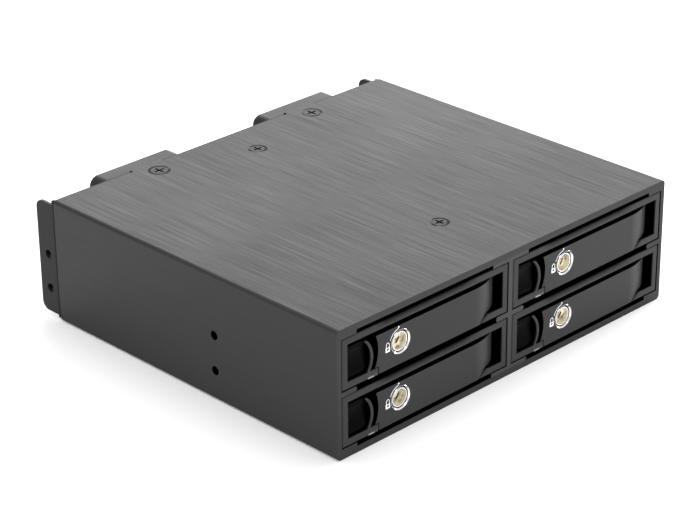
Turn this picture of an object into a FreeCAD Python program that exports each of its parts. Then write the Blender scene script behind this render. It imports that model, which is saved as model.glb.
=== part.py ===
import FreeCAD, Part
import math
import os
import re
import Sketcher

# Drive cage for one half height bay: an extruded housing, a centre divider and four trays that
# slide in from the front. X runs to the right, Y to the rear and Z up. Every piece of the cage
# is drawn with Y = 0 at the front face, and then moved so that the origin is the centre of the
# housing's bottom face.

doc = FreeCAD.newDocument("DriveCage")

# Driving sizes in millimetres.
SIZES = {
    # housing extrusion
    "housing_width": 146.0,
    "housing_height": 42.0,
    "housing_length": 126.4,
    "side_wall": 1.6,
    "top_wall": 2.1,
    "strip_step": 1.2,
    "strip_width": 6.2,
    "rail_width": 6.2,
    "rail_height": 1.6,
    "rail_round": 0.7,
    "corner_round": 1.2,
    # rear edge of the top and bottom walls
    "tongue_run": 1.2,
    "tongue_width": 13.2,
    "tongue_pitch": 68.0,
    "cut_back": 0.3,
    "corner_land": 4.1,
    # fixing holes of the half height body
    "bay_hole": 3.0,
    "bay_hole_y": 52.1,
    "bay_hole_z": 10.0,
    "bay_hole_pitch": 11.84,
    "bay_hole_span": 79.25,
    "bay_hole_depth": 2.0,
    # centre divider
    "web_width": 1.8,
    "divider_length": 113.6,
    "divider_strip": 7.0,
    "divider_rail": 5.2,
    # countersunk screws
    "divider_screw": 2.5,
    "divider_screw_head": 5.6,
    "divider_screw_length": 3.6,
    "divider_screw_y": 29.4,
    "divider_screw_pitch": 81.8,
    "plate_screw": 3.0,
    "plate_screw_head": 6.5,
    "plate_screw_length": 4.2,
    "plate_screw_back": 5.4,
    "screw_play": 0.1,
    "recess_depth": 0.9,
    "recess_arm": 0.7,
    # rear plate
    "sheet": 1.0,
    "plate_gap": 0.2,
    "plate_inset": 0.5,
    "flange_run": 8.4,
    "flange_inset_low": 1.4,
    "flange_inset_high": 2.0,
    "flange_round": 2.8,
    "flange_relief": 0.5,
    "collar_diameter": 4.4,
    "collar_length": 1.2,
    "bend_inside": 0.4,
    "tab_width": 11.4,
    "tab_run": 9.0,
    # fans
    "fan_size": 34.8,
    "fan_depth": 5.8,
    "fan_round": 3.3,
    "fan_bore": 31.8,
    "fan_shift": 0.2,
    "fan_hole_pitch": 28.4,
    "fan_hole": 2.9,
    "fan_spider": 1.2,
    "fan_strut": 1.8,
    "fan_screw": 2.5,
    "fan_screw_head": 4.6,
    "fan_screw_cap": 1.3,
    "hub_diameter": 15.2,
    "hub_wall": 0.9,
    "hub_height": 3.8,
    "rotor_shaft": 1.6,
    "shaft_play": 0.05,
    "rotor_gap": 0.4,
    "blade_tip_gap": 0.6,
    "blade_count": 7,
    "blade_chord": 5.4,
    "blade_thick": 0.8,
    "blade_angle": 34.0,
    # backplane board and what it carries
    "board_thick": 1.6,
    "board_gap": 0.3,
    "standoff_length": 10.7,
    "standoff_size": 4.6,
    "standoff_inner_x": 14.9,
    "standoff_port_gap": 0.45,
    "board_window_width": 34.0,
    "board_window_height": 6.0,
    "board_window_offset": 2.0,
    "socket_width": 39.6,
    "socket_height": 5.2,
    "socket_depth": 6.0,
    "socket_centre_x": 4.8,
    "socket_above_pan": 0.9,
    "socket_slot_depth": 4.6,
    "socket_slot_height": 2.2,
    "socket_data_slot": 11.2,
    "socket_power_slot": 21.4,
    "socket_slot_rib": 1.6,
    "port_stand_out": 0.8,
    "port_play": 0.2,
    "port_wall": 1.1,
    "port_depth": 7.0,
    "data_port_width": 8.6,
    "data_port_height": 33.6,
    "data_port_inset": 10.3,
    "data_port_bridge": 2.0,
    "data_tongue_thick": 1.3,
    "data_tongue_width": 10.0,
    "power_port_width": 26.0,
    "power_port_height": 7.6,
    "power_port_pitch": 19.0,
    "power_tongue_width": 20.0,
    # how the trays sit in the cage
    "tray_side_play": 0.4,
    "tray_play": 0.3,
    # tray bezel
    "bezel_depth": 10.0,
    "bezel_border": 2.1,
    "bezel_top": 2.0,
    "bezel_low": 2.25,
    "bezel_back": 1.2,
    "bezel_chamfer": 0.25,
    "front_play": 0.3,
    "air_gap": 1.6,
    "bezel_post": 1.8,
    "bezel_post_head": 3.0,
    "bezel_post_cap": 0.6,
    "bezel_post_x": 6.0,
    "vent_width": 3.0,
    "vent_pitch": 5.0,
    "vent_count": 8,
    "vent_start": 18.5,
    # finger ridge and release button
    "ridge_thick": 1.0,
    "ridge_top_x": 9.8,
    "ridge_foot_x": 10.7,
    "ridge_radius": 7.85,
    "button_sink": 1.0,
    "button_thick": 5.0,
    "button_stem": 4.0,
    "button_stem_out": 0.2,
    "button_dish": 0.7,
    "slide_play": 0.05,
    # handle
    "handle_thick": 2.0,
    "handle_lift": 0.1,
    "handle_top_x": 13.5,
    "handle_foot_x": 13.1,
    "handle_edge_radius": 11.8,
    "handle_notch_x": 14.4,
    "handle_bend_x": 55.4,
    "handle_room": 0.9,
    "handle_rib": 1.2,
    "handle_rib_run": 2.0,
    "hinge_from_right": 5.0,
    "hinge_depth": 4.9,
    "barrel_radius": 2.4,
    "pin_diameter": 2.0,
    "pin_inset": 0.5,
    "pin_play": 0.05,
    "swing_low": 8.8,
    "swing_high": 5.8,
    "swing_play": 0.5,
    # lock
    "lock_x": 23.5,
    "lock_z": 7.4,
    "lock_rim": 7.8,
    "lock_rim_out": 0.22,
    "lock_rim_edge": 0.05,
    "lock_mouth": 6.8,
    "lock_mouth_depth": 0.15,
    "lock_flange": 0.8,
    "lock_body": 7.2,
    "lock_length": 5.0,
    "lock_boss": 9.4,
    "lock_boss_run": 2.2,
    "plug_diameter": 5.2,
    "plug_disc": 6.1,
    "plug_sink": 0.25,
    "plug_back": 1.6,
    "plug_cup": 5.5,
    "plug_cup_floor": 5.0,
    "plug_cup_depth": 1.0,
    "key_slot_length": 2.2,
    "key_slot_width": 0.7,
    "key_slot_depth": 2.6,
    "key_slot_angle": 53.0,
    "post_size": 2.0,
    "post_head": 3.8,
    "post_head_thick": 0.5,
    "cam_thick": 1.1,
    "cam_width": 3.8,
    "cam_reach": 6.1,
    "cam_gap": 0.1,
    "cam_room": 0.4,
    # light guide
    "guide_x": 10.3,
    "guide_width": 4.0,
    "guide_height": 0.85,
    # tray pan
    "pan_thick": 1.3,
    "pan_length": 106.0,
    "pan_side_inset": 0.25,
    "pan_lip": 1.2,
    "pan_ear": 5.6,
    "pan_ear_round": 1.5,
    "pan_corner": 3.0,
    "pan_slot_width": 3.2,
    "pan_slot_length": 46.0,
    "pan_slot_pitch": 6.4,
    "pan_slot_count": 7,
    "drive_hole_span_x": 61.72,
    "drive_hole_span_y": 76.6,
    "drive_hole_y": 21.6,
    "drive_hole": 3.2,
    "drive_hole_head": 5.2,
}

sheet = doc.addObject("Spreadsheet::Sheet", "Sizes")
for row, (alias, number) in enumerate(SIZES.items(), start=1):
    sheet.set(f"A{row}", alias)
    sheet.set(f"B{row}", str(number))
    sheet.setAlias(f"B{row}", alias)
doc.recompute()

# Sizes that follow from the driving ones.
DERIVED = {
    "half_width": "housing_width/2",
    "thick_wall": "top_wall + strip_step",
    "tray_height": "(housing_height - 2*thick_wall - rail_height - 4*tray_play)/2",
    "tray_width": "half_width - side_wall - web_width/2 - 2*tray_side_play",
    "tray_left_x": "side_wall + tray_side_play - half_width",
    "tray_right_x": "web_width/2 + tray_side_play",
    "tray_lower_z": "thick_wall + tray_play",
    "tray_upper_z": "tray_lower_z + tray_height + rail_height + 2*tray_play",
    "rail_low": "housing_height/2 - rail_height/2",
    "rail_high": "housing_height/2 + rail_height/2",
    "plate_front": "housing_length + plate_gap",
    "plate_rear": "plate_front + sheet",
    "plate_top": "housing_height - plate_inset",
    "plate_screw_y": "housing_length - plate_screw_back",
    "data_port_x": "half_width - data_port_inset",
    "data_port_inner": "data_port_x - data_port_width/2",
    "fan_x": "(power_port_width/2 + data_port_inner)/2 - fan_shift",
    "standoff_outer_x": "data_port_inner - standoff_port_gap - standoff_size/2",
    "fan_z": "plate_top - fan_size/2",
    "board_front": "plate_front - standoff_length - board_thick",
    "board_rear": "plate_front - standoff_length",
    "board_low": "thick_wall + board_gap",
    "port_front": "board_rear",
    "port_rear": "plate_rear + port_stand_out",
    "port_z": "housing_height/2",
    "hinge_x": "tray_width - hinge_from_right",
    "bend_run": "hinge_x - handle_bend_x",
    "bend_radius": "(bend_run^2 + hinge_depth^2 - barrel_radius^2)/(2*(hinge_depth - barrel_radius))",
    "bend_reach": "bend_radius - barrel_radius",
    "handle_high": "tray_height - bezel_top - air_gap",
    "handle_foot": "bezel_low + front_play",
    "cam_front": "lock_length + cam_gap",
    "plug_floor": "plug_sink + plug_cup_depth",
    "post_left_x": "vent_start - bezel_post_x/2",
    "post_right_x": "tray_width - bezel_post_x",
    "post_low_z": "bezel_low + bezel_post_head/2 + front_play",
    "post_high_z": "tray_height - bezel_top - bezel_post_head/2",
    "bezel_rear_wall": "bezel_depth - bezel_back",
    "drive_middle": "tray_width/2",
    "pan_top": "pan_thick - tray_play",
}
WORD = re.compile(r"[a-z][a-z_0-9]*[a-z0-9]")


def formula(text):
    """Write a formula of size names in the sheet's terms."""
    def swap(match):
        word = match.group()
        if word in DERIVED:
            return "(" + formula(DERIVED[word]) + ")"
        if word in SIZES:
            return "Sizes." + word
        return word
    return WORD.sub(swap, str(text))


def value(text):
    """The number that a formula gives now."""
    return float(sheet.evalExpression(formula(text)))


def bind(item, prop, text):
    """Tie a property to a formula."""
    item.setExpression(prop, formula(text))


# Sketches


def new_body(label):
    body = doc.addObject("PartDesign::Body", label)
    body.Label = label
    return body


def sketch_on(body, name, plane, offset="0"):
    """Start a sketch on one of the body's origin planes, moved along its normal."""
    sketch = body.newObject("Sketcher::SketchObject", f"{body.Name}_{name}")
    support = [item for item in body.Origin.OriginFeatures if item.Role == plane + "_Plane"][0]
    sketch.AttachmentSupport = (support, [""])
    sketch.MapMode = "FlatFace"
    bind(sketch, "AttachmentOffset.Base.z", offset)
    return sketch


def pin_point(sketch, side, position, across, up):
    """Hold one point of the sketch at two formulas."""
    for kind, text in (("DistanceX", across), ("DistanceY", up)):
        number = sketch.addConstraint(Sketcher.Constraint(kind, -1, 1, side, position, value(text)))
        bind(sketch, f"Constraints[{number}]", text)


def arc_between(start, end, radius):
    """The short arc from start to end. A negative radius turns it clockwise."""
    chord = end - start
    rise = math.sqrt(max(radius ** 2 - (chord.Length / 2) ** 2, 0.0))
    left = FreeCAD.Vector(-chord.y, chord.x, 0).normalize()
    centre = (start + end) / 2 + left * (rise if radius > 0 else -rise)
    first, last = (start, end) if radius > 0 else (end, start)
    circle = Part.Circle(centre, FreeCAD.Vector(0, 0, 1), abs(radius))
    begin = math.atan2(first.y - centre.y, first.x - centre.x)
    finish = math.atan2(last.y - centre.y, last.x - centre.x)
    return Part.ArcOfCircle(circle, begin, finish)


def outline(sketch, points, arcs=None):
    """Add a closed outline. arcs gives the radius of each side that isn't straight."""
    arcs = arcs or {}
    corners = [FreeCAD.Vector(value(across), value(up), 0) for across, up in points]
    sides = []
    for index, start in enumerate(corners):
        end = corners[(index + 1) % len(corners)]
        if index in arcs:
            radius = value(arcs[index])
            side = sketch.addGeometry(arc_between(start, end, radius), False)
            ends = (1, 2) if radius > 0 else (2, 1)
            number = sketch.addConstraint(Sketcher.Constraint("Radius", side, abs(radius)))
            bind(sketch, f"Constraints[{number}]", arcs[index].lstrip("-"))
        else:
            side = sketch.addGeometry(Part.LineSegment(start, end), False)
            ends = (1, 2)
        sides.append((side, ends))
    for index, (side, ends) in enumerate(sides):
        following, next_ends = sides[(index + 1) % len(sides)]
        join = Sketcher.Constraint("Coincident", side, ends[1], following, next_ends[0])
        sketch.addConstraint(join)
        pin_point(sketch, side, ends[0], *points[index])


def rectangle(sketch, left, low, right, high):
    outline(sketch, [(left, low), (right, low), (right, high), (left, high)])


def circle(sketch, across, up, diameter):
    centre = FreeCAD.Vector(value(across), value(up), 0)
    side = sketch.addGeometry(Part.Circle(centre, FreeCAD.Vector(0, 0, 1), value(diameter) / 2), False)
    number = sketch.addConstraint(Sketcher.Constraint("Diameter", side, value(diameter)))
    bind(sketch, f"Constraints[{number}]", diameter)
    pin_point(sketch, side, 3, across, up)


def mirrored(points):
    """Close a right hand outline with its mirror image about the middle line."""
    return points + [(f"-({across})", up) for across, up in reversed(points)]


# Features


def feature(body, kind, name, sketch):
    item = body.newObject("PartDesign::" + kind, f"{body.Name}_{name}")
    item.Profile = sketch
    return item


def pad(body, name, sketch, length, back=False):
    """Extrude along the plane's normal, or against it."""
    item = feature(body, "Pad", name, sketch)
    item.Reversed = back
    bind(item, "Length", length)
    return item


def pocket(body, name, sketch, length=None, back=False):
    """Cut against the plane's normal, or along it, to a depth or through all."""
    item = feature(body, "Pocket", name, sketch)
    item.Reversed = back
    if length is None:
        item.Type = "ThroughAll"
    else:
        bind(item, "Length", length)
    return item


def revolve(body, name, sketch, axis, kind="Revolution"):
    item = feature(body, kind, name, sketch)
    item.ReferenceAxis = (sketch, [axis])
    item.Angle = 360
    return item


def linear_pattern(body, name, original, plane_axis, length, count):
    item = body.newObject("PartDesign::LinearPattern", f"{body.Name}_{name}")
    item.Originals = [original]
    axis = [part for part in body.Origin.OriginFeatures if part.Role == plane_axis + "_Axis"][0]
    item.Direction = (axis, [""])
    bind(item, "Length", length)
    bind(item, "Occurrences", count)
    body.Tip = item
    return item


def polar_pattern(body, name, originals, plane_axis, count):
    item = body.newObject("PartDesign::PolarPattern", f"{body.Name}_{name}")
    item.Originals = originals
    axis = [part for part in body.Origin.OriginFeatures if part.Role == plane_axis + "_Axis"][0]
    item.Axis = (axis, [""])
    item.Angle = 360
    bind(item, "Occurrences", count)
    body.Tip = item
    return item


def dress(body, kind, name, size, pick):
    """Round or chamfer the edges that pick names by their middle point and direction."""
    doc.recompute()
    base = body.Tip
    names = []
    for number, edge in enumerate(base.Shape.Edges, start=1):
        middle = edge.valueAt((edge.FirstParameter + edge.LastParameter) / 2)
        straight = edge.Curve.TypeId == "Part::GeomLine"
        run = edge.tangentAt(edge.FirstParameter) if straight else FreeCAD.Vector(0, 0, 0)
        if pick(middle, run):
            names.append(f"Edge{number}")
    item = body.newObject("PartDesign::" + kind, f"{body.Name}_{name}")
    item.Base = (base, names)
    bind(item, "Radius" if kind == "Fillet" else "Size", size)
    return item


def near(number, text, slack=0.01):
    return abs(number - value(text)) < slack


# Placing


def place(item, across="0", along="0", up="0"):
    """Put a piece drawn from the cage's front face into the cage's frame."""
    bind(item, "Placement.Base.x", across)
    bind(item, "Placement.Base.y", f"{along} - housing_length/2")
    bind(item, "Placement.Base.z", up)


def copy_of(label, original):
    """A further copy of a piece that is made more than once."""
    link = doc.addObject("App::Link", label)
    link.Label = label
    link.LinkedObject = original
    return link


NODES = []


def keep(item):
    NODES.append(item)
    return item


# Housing


def housing():
    """Extruded box with thicker strips and mid height rails along both side walls."""
    body = new_body("housing")
    section = sketch_on(body, "section", "XZ")
    rectangle(section, "-half_width", "0", "half_width", "housing_height")
    wall = "half_width - side_wall"
    strip = "half_width - side_wall - strip_width"
    rail = "half_width - side_wall - rail_width"
    right = [
        (strip, "top_wall"),
        (strip, "thick_wall"),
        (wall, "thick_wall"),
        (wall, "rail_low"),
        (rail, "rail_low"),
        (rail, "rail_high"),
        (wall, "rail_high"),
        (wall, "housing_height - thick_wall"),
        (strip, "housing_height - thick_wall"),
        (strip, "housing_height - top_wall"),
    ]
    outline(section, mirrored(right))
    pad(body, "tube", section, "housing_length + tongue_run", back=True)

    def outer_corner(middle, run):
        edge_x = near(abs(middle.x), "half_width")
        edge_z = near(middle.z, "0") or near(middle.z, "housing_height")
        return abs(run.y) > 0.9 and edge_x and edge_z

    def rail_end(middle, run):
        end_z = near(middle.z, "rail_low") or near(middle.z, "rail_high")
        return abs(run.y) > 0.9 and near(abs(middle.x), rail) and end_z

    dress(body, "Fillet", "corners", "corner_round", outer_corner)
    dress(body, "Fillet", "rail_ends", "rail_round", rail_end)

    # the rear edge is cut back beside and between the tongues that cover the plate's tabs
    back = "housing_length + tongue_run + 1"
    trim = sketch_on(body, "trim", "XY")
    inner = "tongue_pitch/2 - tongue_width/2"
    outer = "tongue_pitch/2 + tongue_width/2"
    rectangle(trim, f"-({inner})", "housing_length - cut_back", inner, back)
    for sign in ("", "-"):
        side = [
            (f"{sign}({outer})", "housing_length - cut_back"),
            (f"{sign}(half_width - corner_land)", "housing_length - cut_back"),
            (f"{sign}(half_width - corner_land)", "housing_length"),
            (f"{sign}(half_width + 1)", "housing_length"),
            (f"{sign}(half_width + 1)", back),
            (f"{sign}({outer})", back),
        ]
        outline(trim, side)
    pocket(body, "rear_edge", trim, back=True)

    # the rails end in front of the backplane board
    room = sketch_on(body, "rear_room", "XZ", "-(board_front - board_gap)")
    for sign in ("", "-"):
        far = f"{sign}(half_width - side_wall)"
        near_end = f"{sign}(half_width - side_wall - rail_width - 1)"
        rectangle(room, near_end, "rail_low - 0.5", far, "rail_high + 0.5")
    pocket(body, "rail_ends_cut", room)

    # fixing holes for the drive bay, from both sides
    for name, sign in (("right", ""), ("left", "-")):
        holes = sketch_on(body, "bay_holes_" + name, "YZ", f"{sign}half_width")
        circle(holes, "bay_hole_y", "bay_hole_z", "bay_hole")
        circle(holes, "bay_hole_y", "bay_hole_z + bay_hole_pitch", "bay_hole")
        pocket(body, "bay_pocket_" + name, holes, "bay_hole_depth", back=bool(sign))

    # countersunk holes for the divider and for the rear plate's tabs
    for name, height, from_below in (("top", "housing_height", False), ("bottom", "0", True)):
        for use, spots in screw_spots().items():
            holes = sketch_on(body, f"{use}_holes_{name}", "XY", height)
            for across, along in spots:
                circle(holes, across, along, f"{use}_screw + 2*screw_play")
            doc.recompute()
            hole = feature(body, "Hole", f"{use}_countersinks_{name}", holes)
            hole.DepthType = "Dimension"
            bind(hole, "Depth", "top_wall")
            bind(hole, "Diameter", f"{use}_screw + 2*screw_play")
            hole.DrillPoint = "Flat"
            hole.HoleCutType = "Countersink"
            hole.HoleCutCustomValues = True
            bind(hole, "HoleCutDiameter", f"{use}_screw_head + 2*screw_play")
            hole.HoleCutCountersinkAngle = 90
            hole.Reversed = from_below
            body.Tip = hole
    place(body)
    return keep(body)


def screw_spots():
    """Where the countersunk screws sit in the top wall, and below them in the bottom wall."""
    return {
        "divider": [
            ("0", "divider_screw_y"),
            ("0", "divider_screw_y + divider_screw_pitch"),
        ],
        "plate": [
            ("-tongue_pitch/2", "plate_screw_y"),
            ("tongue_pitch/2", "plate_screw_y"),
        ],
    }


def centre_divider():
    """Extruded wall with strips and rails that carry the inner edges of the trays."""
    body = new_body("centre_divider")
    section = sketch_on(body, "section", "XZ")
    web = "web_width/2"
    strip = "web_width/2 + divider_strip"
    rail = "web_width/2 + divider_rail"
    right = [
        (strip, "top_wall"),
        (strip, "thick_wall"),
        (web, "thick_wall"),
        (web, "rail_low"),
        (rail, "rail_low"),
        (rail, "rail_high"),
        (web, "rail_high"),
        (web, "housing_height - thick_wall"),
        (strip, "housing_height - thick_wall"),
        (strip, "housing_height - top_wall"),
    ]
    outline(section, mirrored(right))
    pad(body, "profile", section, "divider_length", back=True)

    def rail_end(middle, run):
        end_z = near(middle.z, "rail_low") or near(middle.z, "rail_high")
        return abs(run.y) > 0.9 and near(abs(middle.x), rail) and end_z

    dress(body, "Fillet", "rail_ends", "rail_round", rail_end)
    deep = "divider_screw_length - top_wall + screw_play"
    for name, height, from_below in (
        ("top", "housing_height - top_wall", False),
        ("bottom", "top_wall", True),
    ):
        holes = sketch_on(body, "holes_" + name, "XY", height)
        for across, along in screw_spots()["divider"]:
            circle(holes, across, along, "divider_screw + 2*slide_play")
        pocket(body, "threads_" + name, holes, deep, back=from_below)
    place(body)
    return keep(body)


def countersunk_screw(label, use):
    """Flat head screw with a cross recess, standing point down at the origin."""
    body = new_body(label)
    section = sketch_on(body, "section", "XZ")
    head = f"({use}_screw_head - {use}_screw)/2"
    outline(section, [
        ("0", f"-{use}_screw_length"),
        (f"{use}_screw/2 - 0.3", f"-{use}_screw_length"),
        (f"{use}_screw/2", f"0.3 - {use}_screw_length"),
        (f"{use}_screw/2", f"-{head}"),
        (f"{use}_screw_head/2", "0"),
        ("0", "0"),
    ])
    revolve(body, "turned", section, "V_Axis")
    arm = f"{use}_screw_head*0.3"
    for name, width, height in (("along", arm, "recess_arm/2"), ("across", "recess_arm/2", arm)):
        slot = sketch_on(body, "slot_" + name, "XY")
        rectangle(slot, f"-{width}", f"-{height}", width, height)
        pocket(body, "recess_" + name, slot, "recess_depth")
    return body


def screw_group(label, use):
    """The screws of one kind, two from above and two from below."""
    master = countersunk_screw(label + "_one", use)
    links = []
    for across, along in screw_spots()[use]:
        for height, angle in (("housing_height", 0), ("0", 180)):
            link = copy_of(f"{label}_{len(links)}", master)
            link.Placement.Rotation = FreeCAD.Rotation(FreeCAD.Vector(0, 1, 0), angle)
            place(link, across, along, height)
            links.append(link)
    group = doc.addObject("Part::Compound", label)
    group.Label = label
    group.Links = links
    return keep(group)


# Rear plate, fans and backplane


def rear_plate():
    """Bent sheet: a back wall, four screw tabs and a flange at each side with drawn collars."""
    body = new_body("rear_plate")
    edge = "half_width - plate_inset"
    plan = sketch_on(body, "plan", "XY", "plate_inset")
    right = [
        (edge, "plate_front"),
        (edge, "plate_rear + flange_run"),
        (f"{edge} - sheet", "plate_rear + flange_run"),
        (f"{edge} - sheet", "plate_rear"),
    ]
    outline(plan, mirrored(right))
    pad(body, "channel", plan, "housing_height - 2*plate_inset")

    def outer_bend(middle, run):
        return abs(run.z) > 0.9 and near(abs(middle.x), edge) and near(middle.y, "plate_front")

    def inner_bend(middle, run):
        inside = near(abs(middle.x), f"{edge} - sheet")
        return abs(run.z) > 0.9 and inside and near(middle.y, "plate_rear")

    dress(body, "Fillet", "inner_bends", "bend_inside", inner_bend)
    dress(body, "Fillet", "outer_bends", "bend_inside + sheet", outer_bend)

    # the flanges are lower than the back wall and have round corners
    start = "plate_rear + flange_relief"
    far = "plate_rear + flange_run + 1"
    ends = sketch_on(body, "flange_ends", "YZ", "-half_width")
    low = "flange_inset_low"
    high = "housing_height - flange_inset_high"
    rectangle(ends, start, "-1", far, low)
    rectangle(ends, start, high, far, "housing_height + 1")
    pocket(body, "flange_trim", ends, back=True)

    def flange_corner(middle, run):
        level = near(middle.z, low) or near(middle.z, high)
        return abs(run.x) > 0.9 and near(middle.y, "plate_rear + flange_run") and level

    dress(body, "Fillet", "flange_corners", "flange_round", flange_corner)
    spots = [("bay_hole_y + bay_hole_span", level) for level in ("bay_hole_z", "bay_hole_z + bay_hole_pitch")]
    for name, sign in (("right", ""), ("left", "-")):
        rings = sketch_on(body, "collars_" + name, "YZ", f"{sign}({edge} - sheet)")
        for along, up in spots:
            circle(rings, along, up, "collar_diameter")
        pad(body, "collar_pads_" + name, rings, "collar_length", back=not sign)
    holes = sketch_on(body, "flange_holes", "YZ", "-half_width")
    for along, up in spots:
        circle(holes, along, up, "bay_hole")
    pocket(body, "flange_drill", holes, back=True)

    # tabs bent forward below the housing's tongues, each with its thread
    relief = sketch_on(body, "tab_relief", "XZ", "-plate_rear - 1")
    tabs = sketch_on(body, "tabs", "XZ", "-plate_front - sheet/2")
    for sign in ("", "-"):
        left = f"{sign}tongue_pitch/2 - tab_width/2"
        right = f"{sign}tongue_pitch/2 + tab_width/2"
        gap = "((tongue_width - tab_width)/2 + flange_relief)"
        for low, high in (
            ("0", "top_wall"),
            ("housing_height - top_wall", "housing_height"),
        ):
            rectangle(relief, f"{left} - {gap}", low, f"{right} + {gap}", high)
        rectangle(tabs, left, "top_wall", right, "top_wall + sheet")
        rectangle(tabs, left, "housing_height - top_wall - sheet", right, "housing_height - top_wall")
    pocket(body, "tab_notches", relief, "sheet + 2", back=True)
    pad(body, "tab_sheet", tabs, "tab_run + sheet/2")
    threads = sketch_on(body, "threads", "XY")
    for across, along in screw_spots()["plate"]:
        circle(threads, across, along, "plate_screw + 2*slide_play")
    pocket(body, "tapping", threads, back=True)

    # openings for the fans, the ports and their screws
    cuts = sketch_on(body, "cuts", "XZ", "-plate_rear - 1")
    for sign in ("", "-"):
        circle(cuts, f"{sign}fan_x", "fan_z", "fan_bore")
        for across in ("fan_hole_pitch/2", "-fan_hole_pitch/2"):
            for up in ("fan_hole_pitch/2", "-fan_hole_pitch/2"):
                circle(cuts, f"{sign}fan_x + {across}", f"fan_z + {up}", "fan_screw + 2*slide_play")
        for across in ("standoff_inner_x", "standoff_outer_x"):
            circle(cuts, sign + across, "port_z", "fan_hole")
        port = f"{sign}data_port_x"
        wide = "data_port_width/2 + port_play"
        tall = "data_port_height/2 + port_play"
        rectangle(cuts, f"{port} - ({wide})", f"port_z - ({tall})", f"{port} + {wide}", f"port_z + {tall}")
        level = f"port_z {sign or '+'} power_port_pitch/2"
        wide = "power_port_width/2 + port_play"
        tall = "power_port_height/2 + port_play"
        rectangle(cuts, f"-({wide})", f"{level} - ({tall})", wide, f"{level} + {tall}")
    pocket(body, "openings", cuts, "sheet + 2", back=True)
    place(body)
    return keep(body)


def fan_frame(label):
    """Square frame around the bore, with a spider that carries the motor."""
    body = new_body(label)
    face = sketch_on(body, "face", "XZ")
    rectangle(face, "-fan_size/2", "-fan_size/2", "fan_size/2", "fan_size/2")
    circle(face, "0", "0", "fan_bore")
    pad(body, "ring", face, "fan_depth", back=True)

    def corner(middle, run):
        return abs(run.y) > 0.9 and near(abs(middle.x), "fan_size/2") and near(abs(middle.z), "fan_size/2")

    dress(body, "Fillet", "corners", "fan_round", corner)
    holes = sketch_on(body, "holes", "XZ")
    for across in ("fan_hole_pitch/2", "-fan_hole_pitch/2"):
        for up in ("fan_hole_pitch/2", "-fan_hole_pitch/2"):
            circle(holes, across, up, "fan_hole")
    pocket(body, "screw_holes", holes)
    spider = sketch_on(body, "spider", "XZ", "-(fan_depth - fan_spider)")
    rectangle(spider, "-fan_strut/2", "0", "fan_strut/2", "fan_bore/2 + 0.5")
    strut = pad(body, "strut", spider, "fan_spider", back=True)
    polar_pattern(body, "struts", [strut], "Y", "4")
    seat = sketch_on(body, "seat", "XZ", "-(fan_depth - fan_spider)")
    circle(seat, "0", "0", "hub_diameter + 1.2")
    pad(body, "motor_seat", seat, "fan_spider", back=True)
    bore = sketch_on(body, "bore", "XZ", "-(fan_depth - fan_spider)")
    circle(bore, "0", "0", "rotor_shaft + 2*shaft_play")
    pocket(body, "bearing", bore)
    return body


def fan_rotor(label):
    """Hub cup on its shaft, with slanted blades."""
    body = new_body(label)
    section = sketch_on(body, "section", "XY")
    outline(section, [
        ("0", "rotor_gap"),
        ("hub_diameter/2", "rotor_gap"),
        ("hub_diameter/2", "rotor_gap + hub_height"),
        ("hub_diameter/2 - hub_wall", "rotor_gap + hub_height"),
        ("hub_diameter/2 - hub_wall", "rotor_gap + hub_wall"),
        ("rotor_shaft/2", "rotor_gap + hub_wall"),
        ("rotor_shaft/2", "fan_depth - 0.3"),
        ("0", "fan_depth - 0.3"),
    ])
    revolve(body, "cup", section, "V_Axis")
    blade = sketch_on(body, "blade", "YZ", "hub_diameter/2 - hub_wall/2")
    along = "blade_chord/2*sin(blade_angle)"
    side = "blade_chord/2*cos(blade_angle)"
    thick = "blade_thick/2*cos(blade_angle)"
    lean = "blade_thick/2*sin(blade_angle)"
    middle = "rotor_gap + hub_height/2"
    outline(blade, [
        (f"{middle} - {along} - {thick}", f"-{side} + {lean}"),
        (f"{middle} - {along} + {thick}", f"-{side} - {lean}"),
        (f"{middle} + {along} + {thick}", f"{side} - {lean}"),
        (f"{middle} + {along} - {thick}", f"{side} + {lean}"),
    ], {1: "-blade_chord*1.4", 3: "blade_chord*1.4"})
    one = pad(body, "one_blade", blade, "fan_bore/2 - blade_tip_gap - hub_diameter/2 + hub_wall/2")
    polar_pattern(body, "blades", [one], "Y", "blade_count")
    return body


def fans():
    frame = fan_frame("fan_frame_left")
    rotor = fan_rotor("fan_rotor_left")
    screw = pan_screw("fan_screw_one", "fan_screw", "fan_screw_head", "fan_screw_cap", "fan_depth + sheet")
    for side, sign in (("left", "-"), ("right", "")):
        own_frame = frame if side == "left" else copy_of("fan_frame_right", frame)
        own_rotor = rotor if side == "left" else copy_of("fan_rotor_right", rotor)
        place(own_frame, f"{sign}fan_x", "plate_rear", "fan_z")
        place(own_rotor, f"{sign}fan_x", "plate_rear", "fan_z")
        keep(own_frame)
        keep(own_rotor)
        spots = []
        for across in ("fan_hole_pitch/2", "-fan_hole_pitch/2"):
            for up in ("fan_hole_pitch/2", "-fan_hole_pitch/2"):
                spots.append((f"{sign}fan_x + {across}", "plate_rear + fan_depth", f"fan_z + {up}", 0))
        scattered("fan_screws_" + side, screw, spots)


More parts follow.
